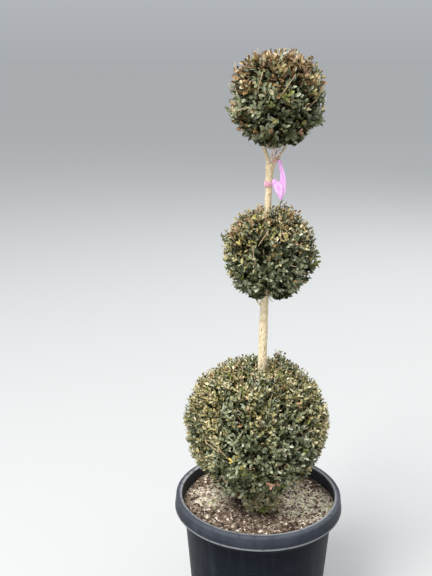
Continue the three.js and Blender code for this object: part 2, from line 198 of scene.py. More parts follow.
def revolve(profile, segments):
    """Turns a profile of (radius, height) about Z: a point is (radius cos a, radius sin a,
    height). The profile starts and ends on the axis, at one point each."""
    turns = 2 * np.pi * np.arange(segments) / segments
    radii = profile[1:-1, 0, None]
    heights = np.broadcast_to(profile[1:-1, 1, None], (len(profile) - 2, segments))
    rings = np.stack([radii * np.cos(turns), radii * np.sin(turns), heights], -1).reshape(-1, 3)
    ends = np.array([[0, 0, profile[0, 1]], [0, 0, profile[-1, 1]]])
    first, last = len(rings), len(rings) + 1
    column = np.arange(segments)
    after = (column + 1) % segments
    top = len(rings) - segments
    under = np.stack([np.full(segments, first), after, column], 1)
    over = np.stack([np.full(segments, last), top + column, top + after], 1)
    return np.concatenate([rings, ends]), [grid_faces(len(profile) - 2, segments, True), under, over]


def mix(tree, share, low, high):
    """Goes from one colour to another as the share goes from 0 to 1."""
    return put(tree, "Mix", {0: share, 6: low, 7: high}, data_type="RGBA").outputs[2]


def step_up(tree, value, low, high, reach=1.0):
    """Goes smoothly from 0 to reach as a value goes from low to high."""
    limits = {"Value": value, "From Min": low, "From Max": high, "To Max": reach}
    return put(tree, "MapRange", limits, interpolation_type="SMOOTHSTEP").outputs[0]


def calculate(tree, operation, first, second):
    """Joins two values by one sum, product or other operation."""
    return put(tree, "Math", {0: first, 1: second}, operation=operation).outputs[0]


def new_group(name, numbers, output):
    """Starts a shader node group that takes a vector and some numbers and puts out one value.
    Returns the group and its inputs."""
    group = bpy.data.node_groups.new(name, "ShaderNodeTree")
    group.interface.new_socket("Vector", in_out="INPUT", socket_type="NodeSocketVector")
    for number in numbers:
        group.interface.new_socket(number, in_out="INPUT", socket_type="NodeSocketFloat")
    group.interface.new_socket(output, in_out="OUTPUT", socket_type="NodeSocketFloat")
    return group, group.nodes.new("NodeGroupInput").outputs


def make_mottle():
    """Makes the node group that the finishes use for their patches: a mask that is 0 where a
    noise lies under Low and 1 where it lies over High."""
    group, entry = new_group("mottle", ("Scale", "Low", "High"), "Mask")
    noise = put(group, "TexNoise", {"Vector": entry["Vector"], "Scale": entry["Scale"], "Detail": 5.0})
    mask = step_up(group, noise.outputs[0], entry["Low"], entry["High"])
    group.links.new(mask, group.nodes.new("NodeGroupOutput").inputs["Mask"])
    return group


def make_grain():
    """Makes the node group that the finishes use for their relief: a fine noise as a height."""
    group, entry = new_group("grain", ("Scale", "Detail"), "Height")
    noise = put(group, "TexNoise", {name: entry[name] for name in ("Vector", "Scale", "Detail")})
    group.links.new(noise.outputs[0], group.nodes.new("NodeGroupOutput").inputs["Height"])
    return group


mottle_group = make_mottle()
grain_group = make_grain()


def mottle(tree, vector, scale, low, high):
    """Places the mottle group in a material, with its own scale and limits."""
    values = {"Vector": vector, "Scale": scale, "Low": low, "High": high}
    return put(tree, "Group", values, node_tree=mottle_group).outputs["Mask"]


def stretched(tree, places, scale):
    """The places, squeezed along each axis, so that a pattern on them is drawn out."""
    return put(tree, "Mapping", {"Vector": places, "Scale": scale}).outputs[0]


def pot_profile():
    """The pot's outline as (radius, height), from under its floor, up its outside, over the rim
    and down its inside. Each stretch also says how grey it is, from its start to its end, and how
    pale its edges are, all from 0 to 1. The grey is partly dusty film and partly painted light:
    painted sheen on the band and the rim's top, and painted shade where it thins high on the wall
    and on the shoulder under the band. The pale edges are partly worn and partly painted highlight
    lines. Returns the points and these two shares."""
    foot, wall, floor, fold = POT["foot_round"], POT["wall"], POT["floor"], POT["fold"]
    shoulder, turn, top = POT["shoulder"], POT["shoulder_height"], POT["height"]
    inner, neck, ledge = POT["rim_inside"], POT["rim_inside"] + POT["wall"], POT["shoulder_top"]
    under, band, bead = top - POT["lip_under"], POT["band_foot"], POT["bead"]
    flare, bead_round = POT["rim"] + POT["band_flare"], POT["bead_round"]
    lip, small = POT["lip_round"], POT["inner_round"]
    outer = POT["rim"] - POT["lip_back"] - lip
    worn = inner + small + POT["worn_and_highlit_edge"]
    middle = 20
    # Each stretch: the grey of dusting and painted light at its start and at its end, the paleness of worn
    # edges and painted highlight, and its points.
    stretches = [
        (0.0, 0.0, 0.0, [[0, 0]]),
        (0.2, 0.2, 0.1, run((middle, 0), (POT["base"] - foot, 0), 30)),
        (0.3, 0.3, 0.3, arc((WALL_FOOT - foot, foot), foot, -90, 0, 6)),
        # The grey falls up the wall and is nil on the shoulder, so both are darker under the band: painted
        # shade.
        (0.15, 0.05, 0.0, run((WALL_FOOT, foot + 4), (shoulder, turn), 6)),
        (0.0, 0.0, 0.0, run((shoulder, turn), (neck, ledge), 4)),
        (0.0, 0.0, 0.0, run((neck, ledge), (neck, under), 8)),
        (0.0, 0.0, 0.0, run((neck + fold, under + fold), (POT["rim"] - wall - fold, under + fold), 4)),
        (0.0, 0.0, 0.0, run((POT["rim"] - wall, under), (flare - wall - 1, band + fold), 8)),
        # The bead, the band's face and the lip are paler: partly dusty and worn, partly painted sheen and
        # painted highlight lines along the bead and the lip's inner edge.
        (0.4, 0.4, 0.7, arc((flare - bead_round, band + bead_round), bead_round, 225, 360, 6)),
        (0.5, 0.5, 0.68, run((flare, band + fold), (flare - 0.2, band + bead), 1.5)),
        (0.3, 0.9, 0.03, run((flare - 1.1, band + bead + 1.2), (outer + lip, top - lip), 3)),
        (0.9, 0.85, 0.12, arc((outer, top - lip), lip, 0, 90, 9)),
        (0.85, 0.75, 0.12, run((outer - 0.4, top), (worn, top), 1.5)),
        (0.65, 0.65, 0.62, run((worn - 0.4, top), (inner + small + 0.4, top), 0.7)),
        (0.5, 0.5, 1.0, arc((inner + small, top - small), small, 90, 180, 7)),
        (0.3, 0.2, 0.1, run((inner, top - small - 1), (inner, ledge), 5)),
        (0.2, 0.2, 0.0, run((inner, ledge), (shoulder - wall, turn), 4)),
        (0.2, 0.2, 0.0, run((shoulder - wall, turn), (WALL_FOOT - wall, foot + floor), 20)),
        (0.2, 0.2, 0.0, run((WALL_FOOT - wall, foot + floor), (WALL_FOOT - wall - foot, floor), 4)),
        (0.2, 0.2, 0.0, run((WALL_FOOT - wall - foot, floor), (middle, floor), 30)),
        (0.0, 0.0, 0.0, [[0, floor]]),
    ]
    profile = np.concatenate([np.asarray(points, float) for *_, points in stretches])
    dust_and_painted_light = [np.linspace(start, end, len(points)) for start, end, _, points in stretches]
    wear_and_highlight = [np.full(len(points), share) for _, _, share, points in stretches]
    return profile, np.concatenate(dust_and_painted_light), np.concatenate(wear_and_highlight)


def per_ring(shares, segments):
    """Spreads a value for each point of a profile over the points that revolve makes of it."""
    return np.concatenate([np.repeat(shares[1:-1], segments), shares[[0, -1]]])


def add_shares(thing, name, shares):
    """Gives each point of a mesh a value from 0 to 1 that its material reads by name."""
    attribute = thing.data.attributes.new(name, "FLOAT", "POINT")
    attribute.data.foreach_set("value", np.asarray(shares, np.float32).ravel())


def read_share(tree, name):
    """Reads a value that each point of the mesh carries."""
    return put(tree, "Attribute", attribute_name=name).outputs["Fac"]


def object_places(tree):
    """Where each point lies on its own piece, which doesn't slide as the piece moves."""
    return put(tree, "TexCoord").outputs["Object"]


def times(tree, first, second):
    """The product of two values."""
    return calculate(tree, "MULTIPLY", first, second)


def plus(tree, start, share, amount):
    """A start value plus an amount times a share."""
    return calculate(tree, "ADD", start, times(tree, share, amount))


def fine_grain(tree, places, scale, detail=3.0):
    """Places the grain group in a material, with its own scale and detail."""
    values = {"Vector": places, "Scale": scale, "Detail": detail}
    return put(tree, "Group", values, node_tree=grain_group).outputs["Height"]


def finish_material(material, colour, relief, strength, distance):
    """Feeds a colour and a relief, of so many metres, into a material's shader."""
    tree = material.node_tree
    shader = tree.nodes["Principled BSDF"]
    tree.links.new(colour, shader.inputs["Base Color"])
    bump = put(tree, "Bump", {"Height": relief, "Strength": strength, "Distance": distance})
    tree.links.new(bump.outputs[0], shader.inputs["Normal"])
    return material


def make_pot_plastic():
    """Black plastic: greyed by the share of dusting and painted light, which is partly a dusty film
    and partly painted sheen and shade; pale along its edges by the share of worn edge and painted
    highlight, which is partly worn plastic and partly painted highlight lines; streaks down the wall
    and fine scuffs in its gloss."""
    material = new_material("black_plastic", (16, 19, 27), 0.45, 0.08)
    tree = material.node_tree
    places = object_places(tree)
    patches = mottle(tree, places, 14.0, 0.38, 0.68)
    streaks = mottle(tree, stretched(tree, places, (55, 55, 2.5)), 1.0, 0.5, 0.72)
    scuffs = mottle(tree, stretched(tree, places, (20, 20, 170)), 1.0, 0.52, 0.7)
    # Pale edges: partly worn plastic, partly painted highlight lines.
    rubbed_and_highlit = times(tree, read_share(tree, "wear_and_highlight"), mottle(tree, places, 60.0, 0.2, 0.5))
    film = plus(tree, 0.22, patches, 0.18)
    lines = plus(tree, times(tree, streaks, 0.06), scuffs, 0.05)
    # Grey film: partly dusting, partly painted sheen on the band and rim, and thin high on the wall as
    # painted shade.
    marks_and_painted_light = plus(tree, lines, read_share(tree, "dust_and_painted_light"), film)
    greyed = mix(tree, marks_and_painted_light, linear(8, 13, 22), linear(96, 102, 116))
    worn = mix(tree, times(tree, rubbed_and_highlit, 0.85), greyed, linear(150, 151, 152))
    gloss = plus(tree, plus(tree, 0.42, scuffs, 0.12), marks_and_painted_light, 0.3)
    tree.links.new(gloss, tree.nodes["Principled BSDF"].inputs["Roughness"])
    relief = calculate(tree, "ADD", fine_grain(tree, places, 900.0), scuffs)
    return finish_material(material, worn, relief, 0.12, 0.0006)


def cut_drain_holes(pot):
    """Cuts the ring of round holes out of the pot's wall, and leaves a plain mesh."""
    turns = 2 * np.pi * np.arange(DRAIN["facets"]) / DRAIN["facets"]
    reach = POT["base"] * np.array(DRAIN["cut"])
    rings = np.stack(
        [np.repeat(reach, len(turns)),
         np.tile(DRAIN["radius"] * np.cos(turns), 2),
         np.tile(DRAIN["height"] + DRAIN["radius"] * np.sin(turns), 2)], -1)
    cuts, faces = [], []
    for index in range(DRAIN["count"]):
        turn = 2 * math.pi * (index + 0.5) / DRAIN["count"]
        along = np.array([math.cos(turn), math.sin(turn), 0])
        side = np.array([-math.sin(turn), math.cos(turn), 0])
        cuts.append(rings[:, :1] * along + rings[:, 1:2] * side + rings[:, 2:] * np.array([0, 0, 1]))
        faces.append(grid_faces(2, len(turns), True) + index * len(rings))
    first = np.arange(DRAIN["count"])[:, None] * len(rings)
    near = first + np.arange(len(turns))[::-1]
    far = first + len(turns) + np.arange(len(turns))
    cutter = add_mesh("drain_cutter", MM * np.concatenate(cuts), [np.concatenate(faces), near, far], [])
    cutting = pot.modifiers.new("holes", "BOOLEAN")
    cutting.object = cutter
    cutting.solver = "EXACT"
    graph = bpy.context.evaluated_depsgraph_get()
    pot.data = bpy.data.meshes.new_from_object(pot.evaluated_get(graph))
    pot.modifiers.clear()
    bpy.data.objects.remove(cutter)


profile, dust_and_painted_light, wear_and_highlight = pot_profile()
pot_points, pot_faces = revolve(MM * profile, POT["segments"])
pot = add_mesh("pot_shell", pot_points, pot_faces, [make_pot_plastic()])
# These shares carry dusting and worn edges, and with them painted sheen, painted shade and painted highlight
# lines.
add_shares(pot, "dust_and_painted_light", per_ring(dust_and_painted_light, POT["segments"]))
add_shares(pot, "wear_and_highlight", per_ring(wear_and_highlight, POT["segments"]))
cut_drain_holes(pot)
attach(pot, "root")
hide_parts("pot")

# The mulch is ground bark and potting mix that fills the pot to 37 mm under its rim. Its top is
# uneven and grainy, dark and damp with a pale yellowish crust on two sides, and loose chips of
# bark lie on it, from dark brown to nearly white.
MULCH = {"top": 367, "level": 45, "uneven": 1.6, "waves": (31, 23, 41), "rings": 84, "segments": 260,
         "grain": [(26, 2.4), (70, 2.2), (150, 1.6)], "edge": 4}
GAP = 0.3
CRUSTS = [((-132, 30), 80), ((134, 2), 122)]
CHIPS = {"count": 15500, "margin": 6, "length": (1.3, 12.7), "long_power": 6, "width": (0.4, 0.5),
         "widest": 6, "thick": (0.5, 1.1), "jitter": 0.7, "tilt": 0.35, "lift": 0.8, "covered": 0.6,
         "seed": 5}
CHIP_COLOURS = [(42, 32, 26), (74, 58, 46), (110, 91, 75), (152, 134, 115), (196, 179, 158), (232, 214, 198)]
CHIP_SHARES = [0.14, 0.25, 0.29, 0.16, 0.1, 0.06]
mulch_random = np.random.default_rng(3)


def smooth_share(value, low, high):
    """Goes smoothly from 0 to 1 as a value goes from low to high."""
    share = np.clip((value - low) / (high - low), 0, 1)
    return share * share * (3 - 2 * share)


def lattice_noise(across, along, cells, random, closed=True):
    """Smooth random heights from 0 to 1: random values on a lattice of cells, each place
    blended from the four round it. A closed lattice joins up across."""
    values = random.random((cells[1] + 2, cells[0] + (0 if closed else 2)))
    columns = values.shape[1]
    left, low = np.floor(across * cells[0]).astype(int), np.floor(along * cells[1]).astype(int)
    right = (left + 1) % columns
    left = left % columns
    shift_across = smooth_share(across * cells[0] % 1, 0, 1)
    shift_along = smooth_share(along * cells[1] % 1, 0, 1)
    lower = values[low, left] * (1 - shift_across) + values[low, right] * shift_across
    upper = values[low + 1, left] * (1 - shift_across) + values[low + 1, right] * shift_across
    return lower * (1 - shift_along) + upper * shift_along


def mulch_height(x, y, noise=0.0):
    """The height of the mulch at a place: its level, plus three crossed waves away from the
    trunk, plus the grain."""
    away = smooth_share(np.hypot(x, y), MULCH["level"], 2 * MULCH["level"])
    first, second, third = MULCH["waves"]
    waves = np.sin(x / first) + np.sin(y / second + 1) + np.sin((x + y) / third + 2)
    return MULCH["top"] + MULCH["uneven"] * away * waves + noise


def mulch_solid():
    """The filling as one closed surface: down its outside as the solid is, and over its top on
    a fine grid whose heights have three sizes of grain."""
    reach = POT["rim_inside"] - GAP
    gap = POT["wall"] + GAP
    outside = [
        [0, POT["floor"] + GAP],
        [WALL_FOOT - gap - POT["foot_round"], POT["floor"] + GAP],
        [WALL_FOOT - gap, POT["foot_round"] + POT["floor"] + GAP],
        [POT["shoulder"] - gap, POT["shoulder_height"]],
        [reach, POT["shoulder_top"]],
    ]
    radii = np.linspace(reach, 0, MULCH["rings"] + 1)
    top = np.stack([radii, np.full(len(radii), float(MULCH["top"]))], 1)
    points, faces = revolve(np.concatenate([outside, top]), MULCH["segments"])
    x, y, z = points.T
    span = 2 * POT["rim_inside"]
    across, along = x / span + 0.5, y / span + 0.5
    grain = np.zeros(len(points))
    for cells, size in MULCH["grain"]:
        grain += size * (lattice_noise(across, along, (cells, cells), mulch_random, False) - 0.5)
    edge = 1 - smooth_share(np.hypot(x, y), reach - MULCH["edge"], reach)
    on_top = z > POT["shoulder_top"] + 1
    points[on_top, 2] = mulch_height(x, y, grain * edge)[on_top]
    return points, faces


def make_mulch_surface():
    """Damp ground bark: speckled browns, fine grain, and the pale crust near two places."""
    material = new_material("ground_bark", (96, 80, 64), 0.95, 0.2)
    tree = material.node_tree
    places = object_places(tree)
    coarse = mottle(tree, places, 110.0, 0.35, 0.65)
    fine = mottle(tree, places, 420.0, 0.4, 0.68)
    browns = mix(tree, coarse, linear(64, 51, 40), linear(120, 102, 85))
    flecks = mix(tree, fine, browns, linear(158, 142, 126))
    crust = 0.0
    for (x, y), radius in CRUSTS:
        middle = (x * MM, y * MM, MULCH["top"] * MM)
        away = put(tree, "VectorMath", {0: places, 1: middle}, operation="DISTANCE").outputs["Value"]
        near = calculate(tree, "SUBTRACT", 1.0, step_up(tree, away, 0.5 * radius * MM, radius * MM))
        crust = calculate(tree, "MAXIMUM", crust, near)
    grains = calculate(tree, "ADD", 0.25, mottle(tree, places, 230.0, 0.38, 0.56))
    patches = mottle(tree, places, 45.0, 0.34, 0.52)
    share = times(tree, times(tree, crust, patches), grains)
    moss = mix(tree, mottle(tree, places, 60.0, 0.5, 0.6), linear(226, 220, 196), linear(196, 196, 142))
    rough = fine_grain(tree, places, 700.0, 4.0)
    return finish_material(material, mix(tree, share, flecks, moss), rough, 0.8, 0.0016)


def place_chips(random):
    """The corners of many flat chips: each a box of eight points, long, thin and jittered, turned
    about Z, tilted a little and half sunk. A size is its least value plus its spread times a
    random share. Returns the corners and where each chip lies."""
    count = CHIPS["count"]
    reach = (POT["rim_inside"] - CHIPS["margin"]) * np.sqrt(random.random(count))
    turn = 2 * np.pi * random.random(count)
    x, y = reach * np.cos(turn), reach * np.sin(turn)
    (short, longer), (slim, wider), (thin, thicker) = CHIPS["length"], CHIPS["width"], CHIPS["thick"]
    length = short + longer * random.random(count) ** CHIPS["long_power"]
    width = np.minimum(length * (slim + wider * random.random(count)), CHIPS["widest"])
    thick = thin + thicker * random.random(count)
    corner = np.array([[i, j, k] for k in (-1, 1) for j in (-1, 1) for i in (-1, 1)]) / 2
    jitter = 1 + CHIPS["jitter"] * (random.random((count, 8, 3)) - 0.5)
    local = corner * jitter * np.stack([length, width, thick], 1)[:, None]
    spin = 2 * np.pi * random.random(count)
    tilt, roll = CHIPS["tilt"] * random.standard_normal((2, count))
    ahead = np.stack([np.cos(spin) * np.cos(tilt), np.sin(spin) * np.cos(tilt), np.sin(tilt)], 1)
    side = np.stack([-np.sin(spin), np.cos(spin), 0 * spin], 1)
    up = np.cross(ahead, side)
    side, up = (side * np.cos(roll)[:, None] + up * np.sin(roll)[:, None],
                up * np.cos(roll)[:, None] - side * np.sin(roll)[:, None])
    middle = np.stack([x, y, mulch_height(x, y) + CHIPS["lift"]], 1)
    points = (middle[:, None] + local[..., :1] * ahead[:, None]
              + local[..., 1:2] * side[:, None] + local[..., 2:] * up[:, None])
    return points, x, y


def make_chips():
    """Many flat chips as one mesh, each with its own colour. On the crusts they are fewer and
    paler."""
    random = np.random.default_rng(CHIPS["seed"])
    points, x, y = place_chips(random)
    count = len(points)
    shade = random.choice(len(CHIP_COLOURS), count, p=CHIP_SHARES)
    shown = np.ones(count, bool)
    for (crust_x, crust_y), radius in CRUSTS:
        crusted = np.hypot(x - crust_x, y - crust_y) < radius * random.random(count) ** 0.5
        shade += 2 * crusted
        shown &= ~crusted | (random.random(count) > CHIPS["covered"])
    shade = np.minimum(shade, len(CHIP_COLOURS) - 1)[shown]
    box = np.array([[0, 2, 3, 1], [4, 5, 7, 6], [0, 1, 5, 4], [2, 6, 7, 3], [0, 4, 6, 2], [1, 3, 7, 5]])
    faces = (np.arange(len(shade))[:, None, None] * 8 + box).reshape(-1, 4)
    materials = [new_material(f"chip_{i}", colour, 0.9, 0.2) for i, colour in enumerate(CHIP_COLOURS)]
    chips = add_mesh("mulch_chips", MM * points[shown].reshape(-1, 3), [faces], materials, smooth=False)
    chips.data.polygons.foreach_set("material_index", np.repeat(shade, len(box)).astype(np.int32))
    return chips


mulch_points, mulch_faces = mulch_solid()
mulch = add_mesh("mulch_bed", MM * mulch_points, mulch_faces, [make_mulch_surface()])
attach(mulch, "root")
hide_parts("mulch")
chips = make_chips()
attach(chips, "root")

# The trunk and its limbs are wood under a pale tan, scaly bark with short upright cracks and
# the knots of cut twigs. The trunk leans a little, widens at its foot and forks under the top
# ball, where thin dead shoots curl.
TRUNK_FOOT = MULCH["top"] + GAP
# Heights on the route and of the knots, each (height, spread, swell), are over the mulch.
TRUNK_ROUTE = [(1, 0, -8), (-3, 2, 130), (5, 4, 380), (7, 2, 510), (11, 0, 680),
               (13, -1, 840), (14.5, 0, 895), (15.5, 0, 925), (17, 0, 946)]
FORK = TRUNK_ROUTE[-1][2]
TRUNK = {"foot": 15.5, "fork": 7.4, "flare": 10, "flare_height": 24, "lobes": 0.5, "half_way": 11,
         "tip_rows": 7, "rows": 900, "columns": 64}
KNOTS = [(505, 22, 1.0), (896, 13, 1.7), (940, 27, 4.2)]
SCARS = {"count": 46, "smallest": 2.5, "spread": 3, "swell": 1.3, "dent": 0.7, "dent_share": 2.4}
BARK = {"cracks": ((16, 6, 0.55), (7, 3, 0.45)), "crack_width": 0.16, "wander": 0.04, "wander_length": 37,
        "scale_length": 2.5, "scale_width": 2, "scale_depth": 0.25, "depth": 0.5, "limb_depth": 0.1}
# A limb is its route and its radii at root and tip.
LIMBS = {
    "stem_left": ([(15, 0, 1294), (10, 0, 1322), (2, 1, 1345), (-2, 1, 1361)], (6.4, 4.7)),
    "stem_right": ([(19, 0, 1290), (27, -2, 1311), (40, -3, 1331), (57, -2, 1354)], (5.0, 1.6)),
    "twig_side": ([(6, 0, 938), (-5, -2, 948), (-13, -3, 964), (-18, -3, 977)], (3.2, 1.8)),
}
DEAD_SHOOTS = [
    [(24, -3, 1313), (27.5, -7, 1326), (30, -9, 1338), (33, -10, 1344), (38, -9, 1342.5),
     (39.5, -8, 1337), (37, -8, 1331)],
    [(21.5, -4, 1315), (19, -7, 1325), (17, -8, 1329.5), (20, -9, 1332.5), (22, -9, 1330)],
    [(22.5, -1, 1312), (21.5, -6, 1334), (21, -8, 1341), (24, -9, 1345), (26, -8, 1342.5)],
    [(26, -4, 1312), (30, -9, 1321), (33, -10, 1326), (38, -10, 1328.5), (41, -9, 1326)],
]
DEAD_SHOOT = {"root": 2.3, "tip": 1.4, "steps": 30, "sides": 8}
STEEP = 0.9
TIP_END = 0.995
wood_random = np.random.default_rng(17)


def spline(points, count):
    """A smooth line through the points: on each span a cubic whose slope at a point is the
    chord between its neighbours, for evenly spaced shares of the chords' whole length."""
    points = np.asarray(points, float)
    lengths = np.linalg.norm(np.diff(points, axis=0), axis=1)
    knots = np.concatenate([[0], np.cumsum(lengths)])
    slopes = np.gradient(points, knots, axis=0)
    places = np.linspace(0, knots[-1], count)
    span = np.clip(np.searchsorted(knots, places, "right") - 1, 0, len(points) - 2)
    width = lengths[span][:, None]
    share = ((places - knots[span])[:, None]) / width
    start, end = points[span], points[span + 1]
    ease = share * share * (3 - 2 * share)
    rise = share * (1 - share) ** 2 * width * slopes[span]
    fall = share * share * (share - 1) * width * slopes[span + 1]
    return start * (1 - ease) + end * ease + rise + fall


def skin(lines, radii):
    """Skins many limbs at once. Lines are (limbs, steps, 3), and radii (limbs, steps, sides). At
    each step a ring stands square to its limb's chord: middle + radius (cos a side + sin a up).
    Its side is level, or square to Y where the chord is steep."""
    limbs, steps, sides = radii.shape
    chord = lines[:, -1] - lines[:, 0]
    chord /= np.linalg.norm(chord, axis=1)[:, None]
    steep = np.abs(chord[:, 2:]) > STEEP
    side = np.cross(np.where(steep, [0.0, 1.0, 0.0], [0.0, 0.0, 1.0]), chord)
    side /= np.linalg.norm(side, axis=1)[:, None]
    up = np.cross(chord, side)
    turns = 2 * np.pi * np.arange(sides) / sides
    spokes = np.cos(turns)[:, None] * side[:, None] + np.sin(turns)[:, None] * up[:, None]
    points = lines[:, :, None] + radii[..., None] * spokes[:, None]
    first = np.arange(limbs)[:, None, None] * steps * sides
    walls = (first + grid_faces(steps, sides, True)).reshape(-1, 4)
    feet = first[:, 0] + np.arange(sides)[::-1]
    tips = first[:, 0] + (steps - 1) * sides + np.arange(sides)
    return points.reshape(-1, 3), [walls, feet, tips]


def bark_relief(rows, columns, length, girth):
    """The bark's height over a limb, in shares from 0 in a crack to 1 on a plate: noises drawn
    out upright, folded about their middle so that each makes thin cracks, and small scales."""
    along, across = np.meshgrid(np.linspace(0, 1, rows), np.arange(columns) / columns, indexing="ij")
    relief = np.ones((rows, columns))
    for long_cell, wide_cell, depth in BARK["cracks"]:
        cells = (max(3, round(girth / wide_cell)), max(2, round(length / long_cell)))
        shifted = across + BARK["wander"] * np.sin(2 * np.pi * along * length / BARK["wander_length"])
        noise = lattice_noise(shifted % 1, along, cells, wood_random)
        relief -= depth * (1 - smooth_share(np.abs(noise - 0.5), 0.0, BARK["crack_width"]))
    cells = (max(4, round(girth / BARK["scale_width"])), max(2, round(length / BARK["scale_length"])))
    scales = lattice_noise(across, along, cells, wood_random)
    return np.clip(relief - BARK["scale_depth"] * scales, 0, 1)


def round_off(radii, rows):
    """Rounds a limb's tip: over its last rows the radius falls as on a quarter circle."""
    share = np.clip((np.arange(len(radii)) - (len(radii) - 1 - rows)) / rows, 0, TIP_END)
    return radii * np.sqrt(1 - share ** 2)[:, None]


def make_bark():
    """Pale scaly bark: tan plates with grey and ochre patches, brown in the cracks, darker and greyer
    high up as painted shade against the stronger light there, and a fine upright grain."""
    material = new_material("tan_bark", (200, 182, 145), 0.85, 0.25)
    tree = material.node_tree
    places = object_places(tree)
    patches = mottle(tree, stretched(tree, places, (1, 1, 0.5)), 70.0, 0.4, 0.62)
    flakes = mottle(tree, stretched(tree, places, (1, 1, 0.35)), 330.0, 0.42, 0.62)
    tan = mix(tree, patches, linear(221, 203, 167), linear(203, 182, 139))
    flaky = mix(tree, flakes, tan, linear(234, 222, 193))
    whole = step_up(tree, read_share(tree, "plate"), 0.0, 0.6)
    cracked = mix(tree, whole, linear(176, 152, 112), flaky)
    height = put(tree, "SeparateXYZ", {0: places}).outputs["Z"]
    # Painted shade: darker and greyer high up, against the stronger light on the upper trunk.
    painted_shade_high_up = mix(tree, step_up(tree, height, 1.0, 1.25, 0.45), cracked, linear(178, 160, 128))
    grain = fine_grain(tree, stretched(tree, places, (1, 1, 0.25)), 900.0)
    return finish_material(material, painted_shade_high_up, grain, 0.5, 0.0008)


bark = make_bark()


def root_flare(height):
    """How much the roots widen the trunk, falling off with the height over the mulch."""
    return TRUNK["flare"] * np.exp(-height / TRUNK["flare_height"])


def trunk_radius(height):
    """An even taper, the flare of the roots, and the knots as bell curves."""
    low = TRUNK_ROUTE[0][2]
    share = (height - low) / (FORK - low)
    radius = TRUNK["foot"] + (TRUNK["fork"] - TRUNK["foot"]) * share + root_flare(height)
    for knot, spread, swell in KNOTS:
        radius = radius + swell * np.exp(-(((height - knot) / spread) ** 2))
    return radius


def make_trunk():
    """The trunk's skin: its radius at each height, lobed at the roots, with small round scars of
    cut twigs and the bark's relief."""
    columns = TRUNK["columns"]
    line = spline([(x, y, z + TRUNK_FOOT) for x, y, z in TRUNK_ROUTE], TRUNK["rows"])
    line = line[line[:, 2] >= TRUNK_FOOT]
    height = (line[:, 2] - TRUNK_FOOT)[:, None]
    turns = 2 * np.pi * np.arange(columns)[None] / columns
    lobes = 0.3 * np.cos(3 * turns + 1) + 0.2 * np.cos(5 * turns)
    radius = trunk_radius(height) + TRUNK["lobes"] * root_flare(height) * lobes
    for _ in range(SCARS["count"]):
        scar, side = FORK * wood_random.random(), 2 * np.pi * wood_random.random()
        size = SCARS["smallest"] + SCARS["spread"] * wood_random.random()
        across = trunk_radius(scar) * (np.abs((turns - side + np.pi) % (2 * np.pi) - np.pi))
        away = np.hypot(across, height - scar) / size
        radius = radius + SCARS["swell"] * np.exp(-away ** 2)
        radius = radius - SCARS["dent"] * np.exp(-(SCARS["dent_share"] * away) ** 2)
    plates = bark_relief(len(line), columns, FORK, 2 * np.pi * TRUNK["half_way"])
    radius = round_off(radius - BARK["depth"] * (1 - plates), TRUNK["tip_rows"])
    points, faces = skin(line[None], radius[None])
    trunk = add_mesh("trunk_bark", MM * points, faces, [bark])
    add_shares(trunk, "plate", plates)
    return trunk


def make_limb(name, route, ends, rows=90, columns=24, tip_rows=3):
    """One tapering limb with bark on it and a rounded tip."""
    line = spline(route, rows)
    length = np.linalg.norm(np.diff(line, axis=0), axis=1).sum()
    plates = bark_relief(rows, columns, length, 2 * np.pi * ends[0])
    taper = np.linspace(*ends, rows)[:, None]
    radius = round_off(taper - BARK["limb_depth"] * taper * (1 - plates), tip_rows)
    points, faces = skin(line[None], radius[None])
    limb = add_mesh(name, MM * points, faces, [bark])
    add_shares(limb, "plate", plates)
    return limb


trunk = make_trunk()
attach(trunk, "root")
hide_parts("trunk")
for name, (route, ends) in LIMBS.items():
    limb = make_limb(name + "_bark", route, ends)
    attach(limb, "root")
    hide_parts(name)


def make_dead_wood():
    """Bare dead wood: a pale pinkish tan, bleached in patches and brown where bark is left."""
    material = new_material("dead_wood", (214, 184, 164), 0.8, 0.2)
    tree = material.node_tree
    places = object_places(tree)
    patches = mottle(tree, places, 130.0, 0.4, 0.6)
    barked = mottle(tree, places, 90.0, 0.52, 0.62)
    bleached = mix(tree, patches, linear(192, 154, 130), linear(226, 202, 184))
    browned = mix(tree, barked, bleached, linear(142, 104, 84))
    return finish_material(material, browned, fine_grain(tree, places, 1100.0, 2.0), 0.5, 0.0006)


dead_wood = make_dead_wood()


def tapered(lines, ends, sides):
    """The radii of limbs that taper evenly from root to tip."""
    taper = np.linspace(*ends, lines.shape[1])
    return np.broadcast_to(taper[None, :, None], (*lines.shape[:2], sides))


def make_shoots(name, routes, size, material):
    """Several bare shoots as one mesh, each tapering along the smooth line of its route."""
    lines = np.stack([spline(route, size["steps"]) for route in routes])
    points, faces = skin(lines, tapered(lines, (size["root"], size["tip"]), size["sides"]))
    return add_mesh(name, MM * points, faces, [material])


dead_shoots = make_shoots("dead_shoots", DEAD_SHOOTS, DEAD_SHOOT, dead_wood)
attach(dead_shoots, "root")
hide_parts("shoot_dead")

# The three balls are the shrub's own growth, clipped round. Boughs leave the trunk, branches
# leave the boughs, and each twig ends in a spray of paired leaves at the clipped outline, by
# the solids' own rule. The lowest ball has a beard of leaves down to the mulch.

